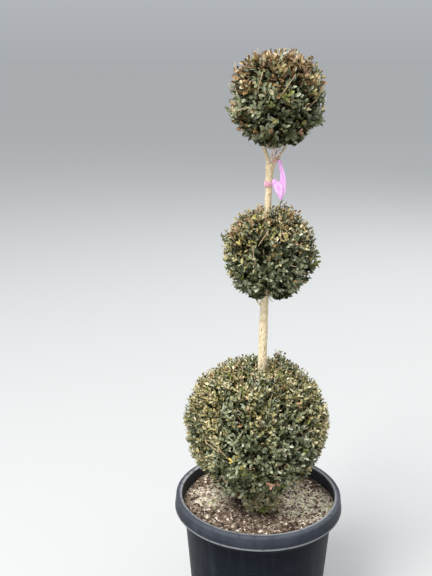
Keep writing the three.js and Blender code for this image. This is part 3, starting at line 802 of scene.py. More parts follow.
# A shoot is (azimuth, elevation, reach, width) and a hollow (azimuth, elevation, width, depth).
BALLS = {
    "foliage_low": {
        "middle": (-7, 0, 622), "across": 197, "up": 170, "up_power": 2.2, "down": 204,
        "down_power": 2.05, "seed": 11, "sprays": 2700, "beard_sprays": 330,
        "beard": {"radius": 57, "shift": 22, "towards": -38, "depth": 251},
        "leaf": 14.5, "twig": 62, "boughs": 26, "branches": 260, "clump": 36, "valley": 14,
        "shoots": [(46, 61, 22, 9), (105, 68, 9, 9), (3, 4, 6, 9), (178, 2, 5, 9), (-178, -36, 8, 17),
                   (-125, -54, 14, 22), (-38, -64, 15, 16)],
        "hollows": [(-90, 33, 5, 14), (-115, -6, 5, 20), (-128, -28, 6, 16), (-70, 12, 3, 12),
                    (-43, -31, 15, 15)],
    },
    "foliage_mid": {
        "middle": (20, 0, 1090), "across": 123, "up": 121, "up_power": 2.3, "down": 127,
        "down_power": 2.3, "beard": None, "seed": 23, "sprays": 800, "beard_sprays": 0,
        "leaf": 15.5, "twig": 52, "boughs": 16, "branches": 110, "clump": 38, "valley": 14,
        "shoots": [(-8, -12, 12, 9), (-70, -72, 6, 9), (180, 17, 16, 10), (30, 73, 24, 13)],
        "hollows": [(-103, 16, 13, 58), (-97, -34, 6, 50), (-98, -46, 8, 80), (-99, -60, 11, 90),
                    (-100, -76, 18, 100)],
    },
    "foliage_top": {
        "middle": (29, 0, 1465), "across": 119, "up": 120, "up_power": 3.1, "down": 116,
        "down_power": 2.1, "beard": None, "seed": 37, "sprays": 620, "beard_sprays": 0,
        "leaf": 19.0, "twig": 56, "boughs": 14, "branches": 90, "clump": 42, "valley": 16,
        "shoots": [(25, 68, 8, 9), (172, -18, 12, 9), (-95, -76, 8, 9), (-10, -24, 12, 9), (0, -64, 17, 8)],
        "hollows": [(-60, -30, 8, 22), (-150, -20, 7, 16)],
    },
}
TOP_STEM = [(-5, 1, 1373), (0, 1, 1410), (14, 0, 1468), (22, 0, 1520)]
TOP_STEM_RADIUS = LIMBS["stem_left"][1][1]
GOLDEN_ANGLE = math.pi * (3 - math.sqrt(5))
BOUGH = {"share": 0.5, "lowest": 0.8, "highest": 0.7, "climb": 0.7, "under": 10, "over_foot": 20, "sag": 6,
         "root": 4.0, "tip": 2.2, "steps": 9, "sides": 7}
BRANCH = {"share": 0.74, "stray": 5, "root": 2.0, "tip": 1.1, "steps": 7, "sides": 5}
TWIG = {"root": 1.0, "tip": 0.55, "droop": 0.6, "lean": 0.7, "stray": 0.5, "spread": 0.8, "steps": 7,
        "sides": 3, "bare": 1.5, "bare_share": 0.035, "length": (0.7, 1.1), "on_beard": 0.45}
SPRAY_STRAY = 0.012
BEARD = {"front": -74, "top": -64, "fall": 17.5, "crowding": 0.7, "front_reach": 3, "front_foot": 9,
         "back_foot": 16, "ragged": 7, "rags": 5}
CLUMP = {"stray": 0.3, "valley": 0.42, "valley_power": 1.5, "lumps": 1.6, "height": (1.5, 2.6),
         "twig": (1.2, 2.4)}
SHOOT_CORE = 0.2
HOLLOW_CORE = 0.4
PAIRS = 5
PAIR = {"stray": (0.8, 1.2), "spin_stray": 0.25, "tip_opening": 28, "opening": 46, "opening_stray": 0.2,
        "roll": 0.4}
LEAF = {"width": 0.52, "width_stray": (0.85, 1.1), "fold": 0.11, "fold_stray": (0.4, 1.5),
        "curl": (-0.02, 0.2), "size": (0.72, 1.12), "tip_size": 0.8, "spacing": 0.62, "room": 0.5,
        "over": 4.0, "finer_above": 0.2, "on_beard": 1.2}
HIGHEST = 1586.0
LEAF_STATIONS = [(0.18, 0.72), (0.5, 1.0), (0.82, 0.8)]
CLEAR = 3
CLEAR_OF_MULCH = 2


def spiral(count):
    """An even spiral of directions over a ball, from the top down: heights in equal steps, and a
    golden angle from each to the next."""
    index = np.arange(count)
    z = 1 - 2 * (index + 0.5) / count
    level = np.sqrt(1 - z * z)
    angle = index * GOLDEN_ANGLE
    return np.stack([level * np.cos(angle), level * np.sin(angle), z], 1)


def direction_at(azimuth, elevation):
    """The direction at an azimuth and a height above level, in degrees."""
    turn, tilt = np.radians(azimuth), np.radians(elevation)
    return np.stack([np.cos(turn) * np.cos(tilt), np.sin(turn) * np.cos(tilt), np.sin(tilt)], -1)


def unit(vectors):
    """The vectors at a length of one."""
    return vectors / np.linalg.norm(vectors, axis=-1, keepdims=True)


def reach_of(ball, directions, inset=0.0):
    """How far a ball reaches: ((level / across) ^ p + (rise / length) ^ p) ^ (-1 / p), less an
    inset, and on the low ball the beard's upright drum where that is further."""
    rises = directions[:, 2]
    power = np.where(rises > 0, ball["up_power"], ball["down_power"])
    length = np.where(rises > 0, ball["up"], ball["down"])
    level = np.maximum(np.hypot(directions[:, 0], directions[:, 1]), 1e-6)
    across = level / (ball["across"] - inset)
    upright = np.abs(rises) / (length - inset)
    clipped = (across ** power + upright ** power) ** (-1 / power)
    beard = ball["beard"]
    if beard:
        turn = np.arctan2(directions[:, 1], directions[:, 0]) - math.radians(beard["towards"])
        radius = beard["radius"] + beard["shift"] * np.cos(turn)
        drum = np.minimum((radius - inset) / level, (beard["depth"] - inset) / np.maximum(-rises, 1e-6))
        clipped = np.where(rises < 0, np.maximum(clipped, drum), clipped)
    return clipped


def lumps(directions, seed):
    """The lumps of a ball, from -2 to 2: two crossed sets of waves over its directions."""
    x, y, z = directions.T
    return np.sin(7 * x + seed) * np.sin(6 * y) + np.sin(5 * z + 9 * x)


def bend(start, control, end, shares):
    """A curve from start to end that leaves and arrives in line with its control point:
    (1 - t)^2 start + 2 t (1 - t) control + t^2 end."""
    t = shares[..., None]
    return (1 - t) ** 2 * start[:, None] + 2 * t * (1 - t) * control[:, None] + t ** 2 * end[:, None]


def trunk_line(heights):
    """The middle of the trunk at each height, or of the top ball's own stem."""
    stem = np.array([(x, y, z + TRUNK_FOOT) for x, y, z in TRUNK_ROUTE] + TOP_STEM)
    return np.stack([np.interp(heights, stem[:, 2], stem[:, axis]) for axis in (0, 1)] + [heights], 1)


def near_trunk(points):
    """True where a point lies closer to the trunk than leaves may come."""
    middle = trunk_line(points[:, 2])
    above = points[:, 2] - TRUNK_FOOT
    radius = np.where(above < FORK, trunk_radius(np.clip(above, 0, FORK)), TOP_STEM_RADIUS)
    return np.linalg.norm(points - middle, axis=1) < radius + CLEAR


def even_shares(count, steps):
    """The same even shares from 0 to 1 for each of many curves."""
    return np.broadcast_to(np.linspace(0, 1, steps), (count, steps))


def grow_frame(ball, random):
    """Grows a ball's boughs from the trunk, each leaving it lower than it ends, and its branches
    from the outer half of the nearest boughs. Returns the lines of both and the branches' tips."""
    middle = np.array(ball["middle"], float)
    ways = spiral(ball["boughs"])
    ends = middle + ways * (reach_of(ball, ways) * BOUGH["share"])[:, None]
    level = np.hypot(*(ends - middle)[:, :2].T)
    lowest = max(middle[2] - BOUGH["lowest"] * ball["down"], TRUNK_FOOT + BOUGH["over_foot"])
    highest = middle[2] + BOUGH["highest"] * ball["up"]
    roots = trunk_line(np.clip(ends[:, 2] - BOUGH["climb"] * level - BOUGH["under"], lowest, highest))
    control = (roots + ends) / 2 - [0, 0, BOUGH["sag"]]
    boughs = bend(roots, control, ends, even_shares(len(ends), BOUGH["steps"]))

    ways = spiral(ball["branches"])
    tips = middle + ways * (reach_of(ball, ways) * BRANCH["share"])[:, None]
    nearest = np.linalg.norm(tips[:, None] - ends[None], axis=2).argmin(1)
    place = random.integers(BOUGH["steps"] // 2, BOUGH["steps"], len(tips))
    starts = boughs[nearest, place]
    control = starts + 0.5 * (tips - starts) + random.normal(0, BRANCH["stray"], tips.shape)
    branches = bend(starts, control, tips, even_shares(len(tips), BRANCH["steps"]))
    return boughs, branches, tips


def degrees_from(ways, azimuth, elevation):
    """How far each direction lies from one place on the ball, in degrees."""
    return np.degrees(np.arccos(np.clip(ways @ direction_at(azimuth, elevation), -1, 1)))


def grow_beard(count):
    """The beard's sprays on a spiral down its drum: their directions, their level ways out, and
    how much further they reach. It is fuller at the front, narrower behind, and ragged at its
    foot. A spray's fall goes from 0 at the top to 1 at the foot."""
    index = np.arange(count)
    turn = index * GOLDEN_ANGLE
    fall = (index / count) ** BEARD["crowding"]
    front = smooth_share(np.cos(turn - math.radians(BEARD["front"])), 0.2, 0.95)
    ways = direction_at(np.degrees(turn), BEARD["top"] - BEARD["fall"] * fall)
    outward = direction_at(np.degrees(turn), np.zeros(count))
    ragged = BEARD["ragged"] * fall * np.sin(BEARD["rags"] * turn + 1)
    fuller = front * (BEARD["front_reach"] + BEARD["front_foot"] * fall)
    return ways, outward, fuller - BEARD["back_foot"] * fall * (1 - front) + ragged


def spray_places(ball, random):
    """The directions, outward ways and extra reach of a ball's sprays: the spiral, the beard,
    and tufts at the shoots."""
    ways = unit(spiral(ball["sprays"]) + random.normal(0, SPRAY_STRAY, (ball["sprays"], 3)))
    outward, extra = ways.copy(), np.zeros(len(ways))
    if ball["beard_sprays"]:
        beard = grow_beard(ball["beard_sprays"])
        ways, outward, extra = (np.concatenate(pair) for pair in zip((ways, outward, extra), beard))
    for azimuth, elevation, reach, width in ball["shoots"]:
        near = degrees_from(ways, azimuth, elevation)
        extra += reach * (1 - smooth_share(near, SHOOT_CORE * width, width))
    return ways, outward, extra


def gather_clumps(ball, ways, random):
    """Gathers the sprays into clumps, each round the nearest of many centres. Returns each
    spray's clump, its way out from the clump's middle, and how deep it lies in the valley
    between two clumps, from 0 to 1."""
    count = int(4 * np.pi * (ball["across"] / ball["clump"]) ** 2)
    share = ball["clump"] / ball["across"]
    centres = unit(spiral(count) + random.normal(0, CLUMP["stray"] * share, (count, 3)))
    apart = np.arccos(np.clip(ways @ centres.T, -1, 1))
    clump = apart.argmin(1)
    nearest = np.partition(apart, 1, axis=1)[:, :2] / share
    valley = 1 - smooth_share(nearest[:, 1] - nearest[:, 0], 0.0, CLUMP["valley"])
    spread = (ways - centres[clump]) / share
    return clump, spread, valley


def spray_depth(ball, ways, extra, clump, valley, random):
    """How far inside the outline each twig ends: room for its last leaves, less the shoots'
    extra, plus the lumps, the clump's own height, the valley, a random share and the hollows."""
    room = LEAF["room"] * ball["leaf"] - extra
    depth = room - CLUMP["lumps"] * lumps(ways, ball["seed"])
    depth = depth + random.normal(*CLUMP["height"], clump.max() + 1)[clump]
    depth += ball["valley"] * valley ** CLUMP["valley_power"] + random.gamma(*CLUMP["twig"], len(ways))
    for azimuth, elevation, width, hollow in ball["hollows"]:
        near = degrees_from(ways, azimuth, elevation)
        depth += hollow * (1 - smooth_share(near, HOLLOW_CORE * width, width))
    return np.maximum(depth, room)


def make_leaves(ball, roots, along, upper, lengths, extra, random):
    """Places all leaves of a ball as arrays: a root, three rows of left, rib and right, and a
    tip. A point is root + along u + side v + upper w, folded on its rib and curled down. Also
    says which leaves stay: those inside the outline, clear of the trunk and of the mulch."""
    side = np.cross(upper, along)
    width = LEAF["width"] * lengths * random.uniform(*LEAF["width_stray"], len(lengths))
    fold = LEAF["fold"] * random.uniform(*LEAF["fold_stray"], len(lengths))
    curl = random.uniform(*LEAF["curl"], len(lengths))
    rows = [(0.0, 0.0, 0.0)]
    for u, half in LEAF_STATIONS:
        rows += [(u, half, 1.0), (u, 0.0, 0.0), (u, -half, 1.0)]
    rows.append((1.0, 0.0, 0.0))
    u, v, raised = np.array(rows).T
    ahead = u * lengths[:, None]
    across = 0.5 * v * width[:, None]
    rise = (fold[:, None] * raised - curl[:, None] * u ** 2) * lengths[:, None]
    points = (roots[:, None] + ahead[..., None] * along[:, None]
              + across[..., None] * side[:, None] + rise[..., None] * upper[:, None])
    flat = points.reshape(-1, 3)
    away = flat - ball["middle"]
    room = reach_of(ball, unit(away)) + np.repeat(extra, len(u)) + LEAF["over"]
    inside = (np.linalg.norm(away, axis=1) <= room) & ~near_trunk(flat)
    inside &= (flat[:, 2] > MULCH["top"] + CLEAR_OF_MULCH) & (flat[:, 2] < HIGHEST)
    return points, inside.reshape(len(lengths), -1).all(1)


LEAF_QUADS = np.array([[3, 6, 5, 2], [6, 9, 8, 5], [2, 5, 4, 1], [5, 8, 7, 4]])
LEAF_ENDS = np.array([[0, 3, 2], [0, 2, 1], [9, 10, 8], [8, 10, 7]])


def grow_twigs(ball, branch_tips, random):
    """Grows a ball's twigs, each bent from the nearest branch's tip, or in the beard from the
    trunk, out to its own place in the outline, leaning up to the light. Returns their starts,
    bends and tips, and what is known of each."""
    ways, outward, extra = spray_places(ball, random)
    clump, spread, valley = gather_clumps(ball, ways, random)
    depth = spray_depth(ball, ways, extra, clump, valley, random)
    bare = random.random(len(ways)) < TWIG["bare_share"]
    depth = np.where(bare, -extra, depth)
    tips = np.array(ball["middle"], float) + ways * reach_of(ball, ways, depth)[:, None]
    stray = random.uniform(-0.5, 0.5, ways.shape)
    ahead = outward * [1, 1, TWIG["droop"]] + TWIG["stray"] * stray + TWIG["spread"] * spread
    ahead = unit(ahead + [0, 0, TWIG["lean"]])
    shrink = np.minimum(1, reach_of(ball, ways) / ball["across"])
    length = ball["twig"] * random.uniform(*TWIG["length"], len(ways)) * shrink
    on_beard = np.arange(len(ways)) >= ball["sprays"]
    length = np.where(on_beard, TWIG["on_beard"] * length, length)
    bases = tips - ahead * length[:, None]
    nearest = np.linalg.norm(bases[:, None] - branch_tips[None], axis=2).argmin(1)
    starts = np.where(on_beard[:, None], trunk_line(bases[:, 2]), branch_tips[nearest])
    finer = np.where(on_beard, LEAF["on_beard"], 1 - LEAF["finer_above"] * ways[:, 2])
    return {"ways": ways, "clump": clump, "extra": extra, "depth": depth, "bare": bare, "finer": finer,
            "starts": starts, "bases": bases, "tips": tips, "length": length, "free": ~near_trunk(tips)}


def place_pairs(ball, twigs, random):
    """Where the pairs of leaves sit on each twig, from its tip inward, and how it heads there."""
    starts, bases, tips = twigs["starts"], twigs["bases"], twigs["tips"]
    spacing = LEAF["spacing"] * ball["leaf"]
    back = np.arange(PAIRS)[None] * spacing * random.uniform(*PAIR["stray"], (len(tips), PAIRS))
    share = 1 - back / (2 * twigs["length"][:, None])
    first, last = (bases - starts)[:, None], (tips - bases)[:, None]
    heading = unit((1 - share)[..., None] * first + share[..., None] * last)
    return bend(starts, bases, tips, share), heading


def open_pairs(heading, random):
    """How each leaf lies, as the way along it and the way out of its upper side. The leaves of a
    pair stand opposite, a quarter turn on from the pair before, and open least at the tip."""
    count = len(heading)
    order = np.arange(PAIRS)[:, None]
    flat_side = unit(np.cross(heading, random.normal(0, 1, (count, 1, 3))))
    other_side = np.cross(heading, flat_side)
    spin = order * np.pi / 2 + random.normal(0, PAIR["spin_stray"], (count, PAIRS, 1))
    outs = np.cos(spin) * flat_side + np.sin(spin) * other_side
    outs = np.stack([outs, -outs], 2)
    heads = np.broadcast_to(heading[:, :, None], outs.shape)
    opening = np.radians(np.where(order == 0, PAIR["tip_opening"], PAIR["opening"]))[..., None]
    opening = opening + random.normal(0, PAIR["opening_stray"], (*outs.shape[:3], 1))
    along = np.cos(opening) * heads + np.sin(opening) * outs
    upper = np.sin(opening) * heads - np.cos(opening) * outs
    sideways = np.cross(upper, along)
    roll = random.normal(0, PAIR["roll"], (*outs.shape[:3], 1))
    return along, np.cos(roll) * upper + np.sin(roll) * sideways


def grow_ball(ball):
    """Grows one ball. Returns the lines of its wood, the points of its leaves, and for each leaf
    its place in its spray from the tip inward and its spray's number. Of each spray it returns
    the direction, the clump and how deep it is sunk in the outline."""
    random = np.random.default_rng(ball["seed"])
    boughs, branches, branch_tips = grow_frame(ball, random)
    twigs = grow_twigs(ball, branch_tips, random)
    places, heading = place_pairs(ball, twigs, random)
    along, upper = open_pairs(heading, random)
    shape = along.shape[:3]
    sizes = ball["leaf"] * random.uniform(*LEAF["size"], shape)
    order = np.arange(PAIRS)[None, :, None]
    sizes = sizes * np.where(order == 0, LEAF["tip_size"], 1.0) * twigs["finer"][:, None, None]
    roots = np.broadcast_to(places[:, :, None], along.shape).reshape(-1, 3)
    number = np.broadcast_to(np.arange(shape[0])[:, None, None], shape).ravel()
    place = np.broadcast_to(order, shape).ravel()
    leaves, kept = make_leaves(ball, roots, along.reshape(-1, 3), upper.reshape(-1, 3), sizes.ravel(),
                               twigs["extra"][number], random)
    free, bare = twigs["free"], twigs["bare"]
    kept &= (free & ~bare)[number]
    shares = even_shares(shape[0], TWIG["steps"])
    lines = bend(twigs["starts"], twigs["bases"], twigs["tips"], shares)
    sunk = twigs["depth"] - LEAF["room"] * ball["leaf"] + twigs["extra"]
    return {"boughs": boughs, "branches": branches, "twigs": lines[free], "bare": bare[free],
            "ways": twigs["ways"], "clump": twigs["clump"], "sunk": sunk,
            "leaves": leaves[kept], "number": number[kept], "place": place[kept]}


# The leaves go from the dark green of the old inner ones, darkened further as painted shade, to
# the pale waxy green of the tips, and are made paler as painted light towards the top, the left
# and the beard's foot. Sun and frost have turned some olive or bronze, and a few clusters are
# yellow, lime, straw, orange, salmon or rust. The waxy skin shines, so the pale light above shows on it.
GREENS = [(26, 31, 14), (44, 51, 27), (70, 77, 46), (98, 104, 72), (129, 133, 99), (162, 165, 134)]
OLIVES = [(40, 37, 16), (76, 69, 36), (113, 105, 60), (149, 139, 88), (175, 164, 116), (201, 191, 150)]
BRONZES = [(42, 31, 16), (74, 54, 32), (108, 82, 50), (138, 110, 72), (164, 136, 96), (190, 166, 130)]
FAMILIES = [("green", GREENS, 0.38, 0.75), ("olive", OLIVES, 0.42, 0.5), ("bronze", BRONZES, 0.45, 0.4)]
LEAF_SHINES = [0.25, 0.45, 1.0, 1.0, 1.0, 1.0]
SPOT_COLOURS = {"yellow": (206, 184, 92), "lime": (124, 130, 64), "orange": (172, 138, 88),
                "rust": (150, 112, 84), "salmon": (204, 160, 134), "straw": (178, 166, 98)}
leaf_materials = []
for family, colours, roughness, specular in FAMILIES:
    for step, (colour, shine) in enumerate(zip(colours, LEAF_SHINES)):
        leaf_materials.append(new_material(f"leaf_{family}_{step}", colour, roughness, specular * shine))
leaf_materials += [new_material("leaf_" + name, colour, 0.42, 0.5) for name, colour in SPOT_COLOURS.items()]
spot_numbers = {name: len(FAMILIES) * len(GREENS) + i for i, name in enumerate(SPOT_COLOURS)}
# Of these, sunk is painted shade, and inner is partly the inner leaves' age and partly painted shade.
SHADE = {"lumps": 0.12, "foot": (0.85, 0.93), "clump": 0.4, "spray": 0.4, "sunk": 0.085, "leaf": 0.7,
         "tip": 0.5, "inner": 0.85}
TURNED = {"lumps": 0.1, "spray": 0.22, "leaf": (0.18, 0.34), "limit": 0.5, "deepest": 3}
SPOT = {"share": 0.8, "deepest": 1, "least": 0.4, "rise": 1.2}
# The olive and bronze shares are those of turned_leaves: (low, top, left, right, foot).
# Of the tones, rise, left and foot are painted light: they raise the steps towards the top, the left and the
# beard's foot. The olive foot share is partly the beard's hue and partly more painted light.
TONES = {
    "foliage_low": {
        "shade": 3.88, "foot": 4.8, "rise": 0.05, "left": 0.0, "olive": (0.08, 0.45, 0.42, 0.6, 0.55),
        "bronze": (-0.4, -0.1, 0.1, 0.0, 0.1), "spots": [("lime", 0.03), ("orange", 0.005)],
    },
    "foliage_mid": {
        "shade": 3.52, "foot": 0.5, "rise": 0.3, "left": 0.1, "olive": (0.0, 0.6, 0.4, 0.3, 0.0),
        "bronze": (-0.4, 0.3, 0.1, 0.0, 0.0), "spots": [("lime", 0.02), ("orange", 0.004)],
    },
    "foliage_top": {
        "shade": 3.48, "foot": 0.1, "rise": 0.1, "left": 0.0, "olive": (0.08, 0.65, 0.15, 0.3, 0.0),
        "bronze": (-0.1, 0.58, 0.35, -0.1, 0.0), "spots": [("lime", 0.008), ("rust", 0.015)],
    },
}
# A spot is (azimuth, elevation, width, colour).
SPOTS = {
    "foliage_low": [
        (-112, -10, 3, "yellow"), (-105, -22, 2.6, "lime"), (-76, -38, 5.6, "salmon"),
        (-90, -57, 3, "lime"), (-68, -55, 3, "lime"), (-29, 9, 3, "lime"), (-35, -6, 4, "lime"),
        (-24, 24, 4, "lime"), (-92, 12, 2, "lime"), (-66, 42, 2, "yellow"),
        (-104, -16, 2.4, "yellow"), (-98, -75, 2, "lime"), (-72, -74, 2, "lime"),
    ],
    "foliage_mid": [
        (-124, 53, 6, "straw"), (-83, 52, 5, "straw"), (-142, 21, 6, "straw"), (-118, 24, 4, "straw"),
        (-71, 28, 4, "straw"), (-70, 42, 4, "orange"), (-33, 57, 4, "orange"), (-159, 64, 4, "orange"),
        (-2, 63, 3, "yellow"), (-10, -13, 5, "lime"),
    ],
    "foliage_top": [
        (-82, 8, 4, "lime"), (-100, -7, 3.5, "lime"), (-53, 23, 3, "lime"), (-47, -20, 4, "lime"),
        (-79, -8, 3, "rust"), (-137, -14, 5, "rust"),
    ],
}


def leaf_steps(ball, tones, growth, high, at_foot, random):
    """Which of the six steps from dark to pale each leaf takes. It starts from its ball's base step,
    is raised as painted light towards the top and the left, where the lamps light the ball most, and
    at the beard's foot, against the ball's shadow. It is shifted by its clump, its spray and itself,
    paler on the last pair, darker inwards, partly for older leaves and partly as painted shade, and
    darker where the spray is sunk, as painted shade."""
    ways, clump, number, place = (growth[key] for key in ("ways", "clump", "number", "place"))
    # Painted light: rise, left and foot raise the step towards the top, the left and the beard's foot.
    shade = tones["shade"] + tones["rise"] * high - tones["left"] * ways[:, 0] + tones["foot"] * at_foot
    shade += random.normal(0, SHADE["clump"], clump.max() + 1)[clump]
    uneven = 1 + at_foot
    # Painted shade: sprays sunk deeper in the outline take darker steps.
    shade += random.normal(0, SHADE["spray"], len(ways)) * uneven - SHADE["sunk"] * growth["sunk"]
    step = shade[number] + random.normal(0, SHADE["leaf"], len(number)) * uneven[number]
    # Tips are paler; inner pairs are darker, partly for age and partly as painted shade.
    step += np.where(place == 0, SHADE["tip"], -SHADE["inner"] * (place - 1))
    return np.clip(np.round(step), 0, len(GREENS) - 1).astype(int)


def turned_leaves(ball, shares, kind, growth, high, at_foot, random):
    """Which leaves have turned to one family: those whose spray's field is over a limit. The
    shares say how high the field is low down and on top, and what the left, the right and the
    beard's foot add to it."""
    low, top, left, right, foot = shares
    ways, number = growth["ways"], growth["number"]
    field = low + (top - low) * smooth_share(high, -0.1, 0.9) + foot * at_foot
    field += left * smooth_share(-ways[:, 0], 0.2, 0.9) + right * smooth_share(ways[:, 0], 0.6, 1.0)
    field += (TURNED["lumps"] * lumps(ways, ball["seed"] + 3 * kind)
              + random.normal(0, TURNED["spray"], len(ways)))
    turned = field[number] + random.normal(0, TURNED["leaf"][kind - 1], len(number)) > TURNED["limit"]
    return turned & (growth["place"] <= TURNED["deepest"])


def deal_colours(name, ball, growth, random):
    """Deals a colour's number to each leaf: its family, its step in it, and then the spots, some
    at random sprays and some at given places, each on the outer pairs of leaves only."""
    tones = TONES[name]
    ways, number = growth["ways"], growth["number"]
    high = ways[:, 2] + SHADE["lumps"] * lumps(ways, ball["seed"] + 2)
    at_foot = smooth_share(-ways[:, 2], *SHADE["foot"])
    step = leaf_steps(ball, tones, growth, high, at_foot, random)
    family = np.zeros(len(number), int)
    for kind, shares in enumerate((tones["olive"], tones["bronze"]), 1):
        family[turned_leaves(ball, shares, kind, growth, high, at_foot, random)] = kind
    colours = step + len(GREENS) * family
    outer = growth["place"] <= SPOT["deepest"]
    for colour, share in tones["spots"]:
        chance = share * (SPOT["least"] + SPOT["rise"] * smooth_share(high, -0.5, 1))
        lucky = random.random(len(ways)) < chance
        colours = np.where(lucky[number] & outer, spot_numbers[colour], colours)
    for azimuth, elevation, width, colour in SPOTS[name]:
        near = degrees_from(ways, azimuth, elevation) < width
        spotted = random.random(len(number)) < SPOT["share"]
        colours = np.where(near[number] & spotted & outer, spot_numbers[colour], colours)
    return colours


def add_leaves(name, leaves, colours):
    """Joins leaves into one mesh, each with its own colour's material."""
    used, slots = np.unique(colours, return_inverse=True)
    first = np.arange(len(leaves))[:, None, None] * leaves.shape[1]
    quads = (first + LEAF_QUADS).reshape(-1, 4)
    ends = (first + LEAF_ENDS).reshape(-1, 3)
    thing = add_mesh(name, MM * leaves.reshape(-1, 3), [quads, ends], [leaf_materials[i] for i in used])
    slots = np.concatenate([np.repeat(slots, len(LEAF_QUADS)), np.repeat(slots, len(LEAF_ENDS))])
    thing.data.polygons.foreach_set("material_index", slots.astype(np.int32))
    return thing


MOST_LEAVES = 16000
TWIG_COLOURS = [(132, 116, 82), (104, 100, 62), (178, 154, 122)]
TWIG_SHARES = [0.5, 0.38, 0.12]
BARE_TWIGS = [
    [(-98, -130, 636), (-110, -169, 622), (-96, -176, 608), (-85, -172, 591)],
    [(-138, -108, 630), (-144, -140, 627), (-124, -164, 620), (-104, -176, 614)],
    [(-16, -80, 1074), (-26, -116, 1098), (-29, -112, 1127)],
    [(-14, -78, 1120), (-7, -113, 1142), (8, -107, 1163)],
    [(38, -78, 1124), (38, -113, 1147), (37, -105, 1165)],
    [(25, -80, 1468), (39, -117, 1491), (64, -107, 1526)],
    [(-20, -72, 1478), (-19, -105, 1502), (-10, -100, 1532)],
    [(-68, -50, 1440), (-60, -80, 1446), (-41, -97, 1451)],
]
BARE_TWIG = {"root": 1.4, "tip": 0.7, "steps": 14, "sides": 5}
twig_barks = [new_material(f"twig_bark_{i}", colour, 0.8, 0.2) for i, colour in enumerate(TWIG_COLOURS)]


def paint_limbs(limbs, slots, steps, sides):
    """Gives each limb of a skinned mesh its own one of the mesh's materials."""
    slots = np.concatenate([np.repeat(slots, (steps - 1) * sides), slots, slots])
    limbs.data.polygons.foreach_set("material_index", slots.astype(np.int32))


for name, ball in BALLS.items():
    growth = grow_ball(ball)
    colours = deal_colours(name, ball, growth, np.random.default_rng(ball["seed"] + 1))
    bark_random = np.random.default_rng(ball["seed"] + 2)
    for kind, size in (("boughs", BOUGH), ("branches", BRANCH), ("twigs", TWIG)):
        lines = growth[kind]
        radii = tapered(lines, (size["root"], size["tip"]), size["sides"])
        slots = bark_random.choice(len(TWIG_COLOURS), len(lines), p=TWIG_SHARES)
        if kind == "twigs":
            radii = radii * np.where(growth["bare"], TWIG["bare"], 1.0)[:, None, None]
            slots = np.where(growth["bare"], len(TWIG_COLOURS) - 1, slots)
        points, faces = skin(lines, radii)
        limbs = add_mesh(f"{name}_{kind}", MM * points, faces, twig_barks)
        paint_limbs(limbs, slots, size["steps"], size["sides"])
        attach(limbs, "root")
    parts = math.ceil(len(colours) / MOST_LEAVES)
    for part in range(parts):
        kept = slice(part * len(colours) // parts, (part + 1) * len(colours) // parts)
        foliage = add_leaves(f"{name}_leaves_{part + 1}", growth["leaves"][kept], colours[kept])
        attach(foliage, "root")
        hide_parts(name)

bare_twigs = make_shoots("bare_twigs", BARE_TWIGS, BARE_TWIG, twig_barks[-1])
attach(bare_twigs, "root")

# The ribbon is thin pink plastic tape. It is wound twice round the trunk's upper knot and tied
# there, and its end goes up to the right stem, where it is tied again. Between the two it hangs
# in a wide loop, folded at the bottom.
RIBBON = {"low": 1254, "high": 1270, "ahead": 9.5, "slant": 0.07, "front": 2.2, "ripple": 0.8, "thick": 0.3}
WOUND = {"clear": 1.2, "layer": 0.25, "wide": 0.85, "narrow": 0.25, "swing": 0.15}
TIE = {"low": 1314, "high": 1323, "radius": 4.0, "turns": 1.5, "rows": 120, "columns": 8, "steps": 60}
KNOT = {"middle": (27, -9, 1266), "size": (5.5, 4, 5.5), "rows": 26, "columns": 36, "open": 0.02}
LOOP_FRONT = ([(22, 1260), (27, 1250), (35, 1234), (43, 1222)],
              [(28, 1272), (38, 1268), (48, 1254), (46, 1223)])
LOOP_BACK = ([(35, 1321), (37, 1306), (41, 1287), (40, 1262), (40, 1240), (43, 1223)],
             [(41, 1321), (47, 1303), (54, 1281), (56, 1261), (54, 1237), (46, 1223)])


def make_tape(name, pale, deep):
    """Thin pink tape: random patches of paler and deeper pink, with fine creases."""
    material = new_material(name, pale, 0.35, 0.5)
    tree = material.node_tree
    places = object_places(tree)
    folds = mottle(tree, stretched(tree, places, (1, 1, 0.4)), 120.0, 0.35, 0.65)
    colour = mix(tree, folds, linear(*deep), linear(*pale))
    return finish_material(material, colour, fine_grain(tree, places, 220.0), 0.5, 0.0015)


loose_tape = make_tape("pink_tape", (240, 192, 238), (232, 172, 228))
wound_tape = make_tape("pink_tape_wound", (224, 178, 192), (194, 134, 148))


def tape_sheet(name, edges, ahead, rows=70, columns=26):
    """A sheet between two edges, ruled across, that ripples towards the viewer by three crossed
    waves. Edges are lists of (x, z)."""
    left, right = (spline([(x, 0, z) for x, z in edge], rows) for edge in edges)
    across = np.linspace(0, 1, columns)[None, :, None]
    points = left[:, None] * (1 - across) + right[:, None] * across
    along = np.linspace(0, 1, rows)[:, None]
    share = across[..., 0]
    ripple = (1.3 * np.sin(9 * share + 5 * along) + 0.9 * np.sin(17 * share - 8 * along + 1)
              + 1.2 * np.sin(3 * along + 4 * share))
    slant = RIBBON["slant"] * (points[..., 2] - RIBBON["low"])
    points[..., 1] = -ahead - slant + ripple * RIBBON["ripple"]
    return add_mesh(name, MM * points.reshape(-1, 3), [grid_faces(rows, columns, False)], [loose_tape])


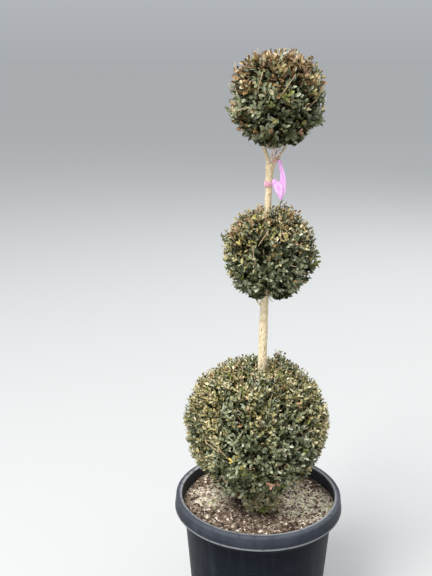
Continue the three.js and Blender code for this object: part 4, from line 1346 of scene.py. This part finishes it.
def tape_band(name, line, radius, low, high, turns=2.0, rows=260, columns=14):
    """Tape wound round a stem: at a turn a it stands at the stem's middle plus (radius cos a,
    radius sin a), narrowed, swung up and down and crumpled by waves across and along it."""
    angle = np.linspace(0, 2 * np.pi * turns, rows)[:, None]
    across = np.linspace(-1, 1, columns)[None]
    swing = 0.8 * np.sin(angle + 0.6) + 0.3 * np.sin(2.3 * angle)
    narrowed = WOUND["wide"] * across * (1 - WOUND["narrow"] * np.sin(1.5 * angle) ** 2)
    height = (low + high) / 2 + (high - low) / 2 * (narrowed + WOUND["swing"] * swing)
    crumple = (0.5 * np.sin(7 * angle + 4 * across) + 0.35 * np.sin(13 * angle - 6 * across)
               + 0.25 * np.sin(9 * across))
    wide = radius(height) + WOUND["clear"] + WOUND["layer"] * angle / np.pi + crumple
    points = line(height.ravel()).reshape(*height.shape, 3)
    points[..., 0] += wide * np.cos(angle)
    points[..., 1] += wide * np.sin(angle)
    return add_mesh(name, MM * points.reshape(-1, 3), [grid_faces(rows, columns, False)], [wound_tape])


def tape_knot(name):
    """A crumpled knot: a round form whose radius is folded by waves over its surface."""
    rows, columns = KNOT["rows"], KNOT["columns"]
    tilt = np.linspace(KNOT["open"], np.pi - KNOT["open"], rows)[:, None]
    turn = 2 * np.pi * np.arange(columns)[None] / columns
    folds = 1 + 0.22 * np.sin(3 * turn + 4 * tilt) + 0.12 * np.sin(7 * turn - 5 * tilt)
    across, deep, high = KNOT["size"]
    points = np.stack([across * folds * np.sin(tilt) * np.cos(turn),
                       deep * folds * np.sin(tilt) * np.sin(turn),
                       high * folds * np.cos(tilt)], -1) + KNOT["middle"]
    first = np.arange(columns)
    ends = [first[None], first[None, ::-1] + (rows - 1) * columns]
    walls = grid_faces(rows, columns, True)[:, ::-1]
    return add_mesh(name, MM * points.reshape(-1, 3), [walls, *ends], [loose_tape])


right_line = spline(LIMBS["stem_right"][0], TIE["steps"])


def right_stem(heights):
    """The middle of the right stem at each height."""
    middles = [np.interp(heights, right_line[:, 2], right_line[:, axis]) for axis in (0, 1)]
    return np.stack([*middles, heights], 1)


def knot_radius(height):
    """The trunk's radius at each height over the ground."""
    return trunk_radius(height - TRUNK_FOOT)


def tied_radius(height):
    """The right stem's radius under its tie, the same at each height."""
    return np.full(height.shape, TIE["radius"])


sheets = [
    tape_sheet("ribbon_loop_front", LOOP_FRONT, RIBBON["ahead"] + RIBBON["front"]),
    tape_sheet("ribbon_loop_back", LOOP_BACK, RIBBON["ahead"]),
    tape_band("ribbon_band", trunk_line, knot_radius, RIBBON["low"], RIBBON["high"]),
    tape_band("ribbon_tie", right_stem, tied_radius, TIE["low"], TIE["high"], TIE["turns"], TIE["rows"],
              TIE["columns"]),
]
for sheet in sheets:
    wall = sheet.modifiers.new("thickness", "SOLIDIFY")
    wall.thickness = RIBBON["thick"] * MM
    wall.offset = 0
knot = tape_knot("ribbon_knot")
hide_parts("ribbon")
for piece in [*sheets, knot]:
    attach(piece, "root")
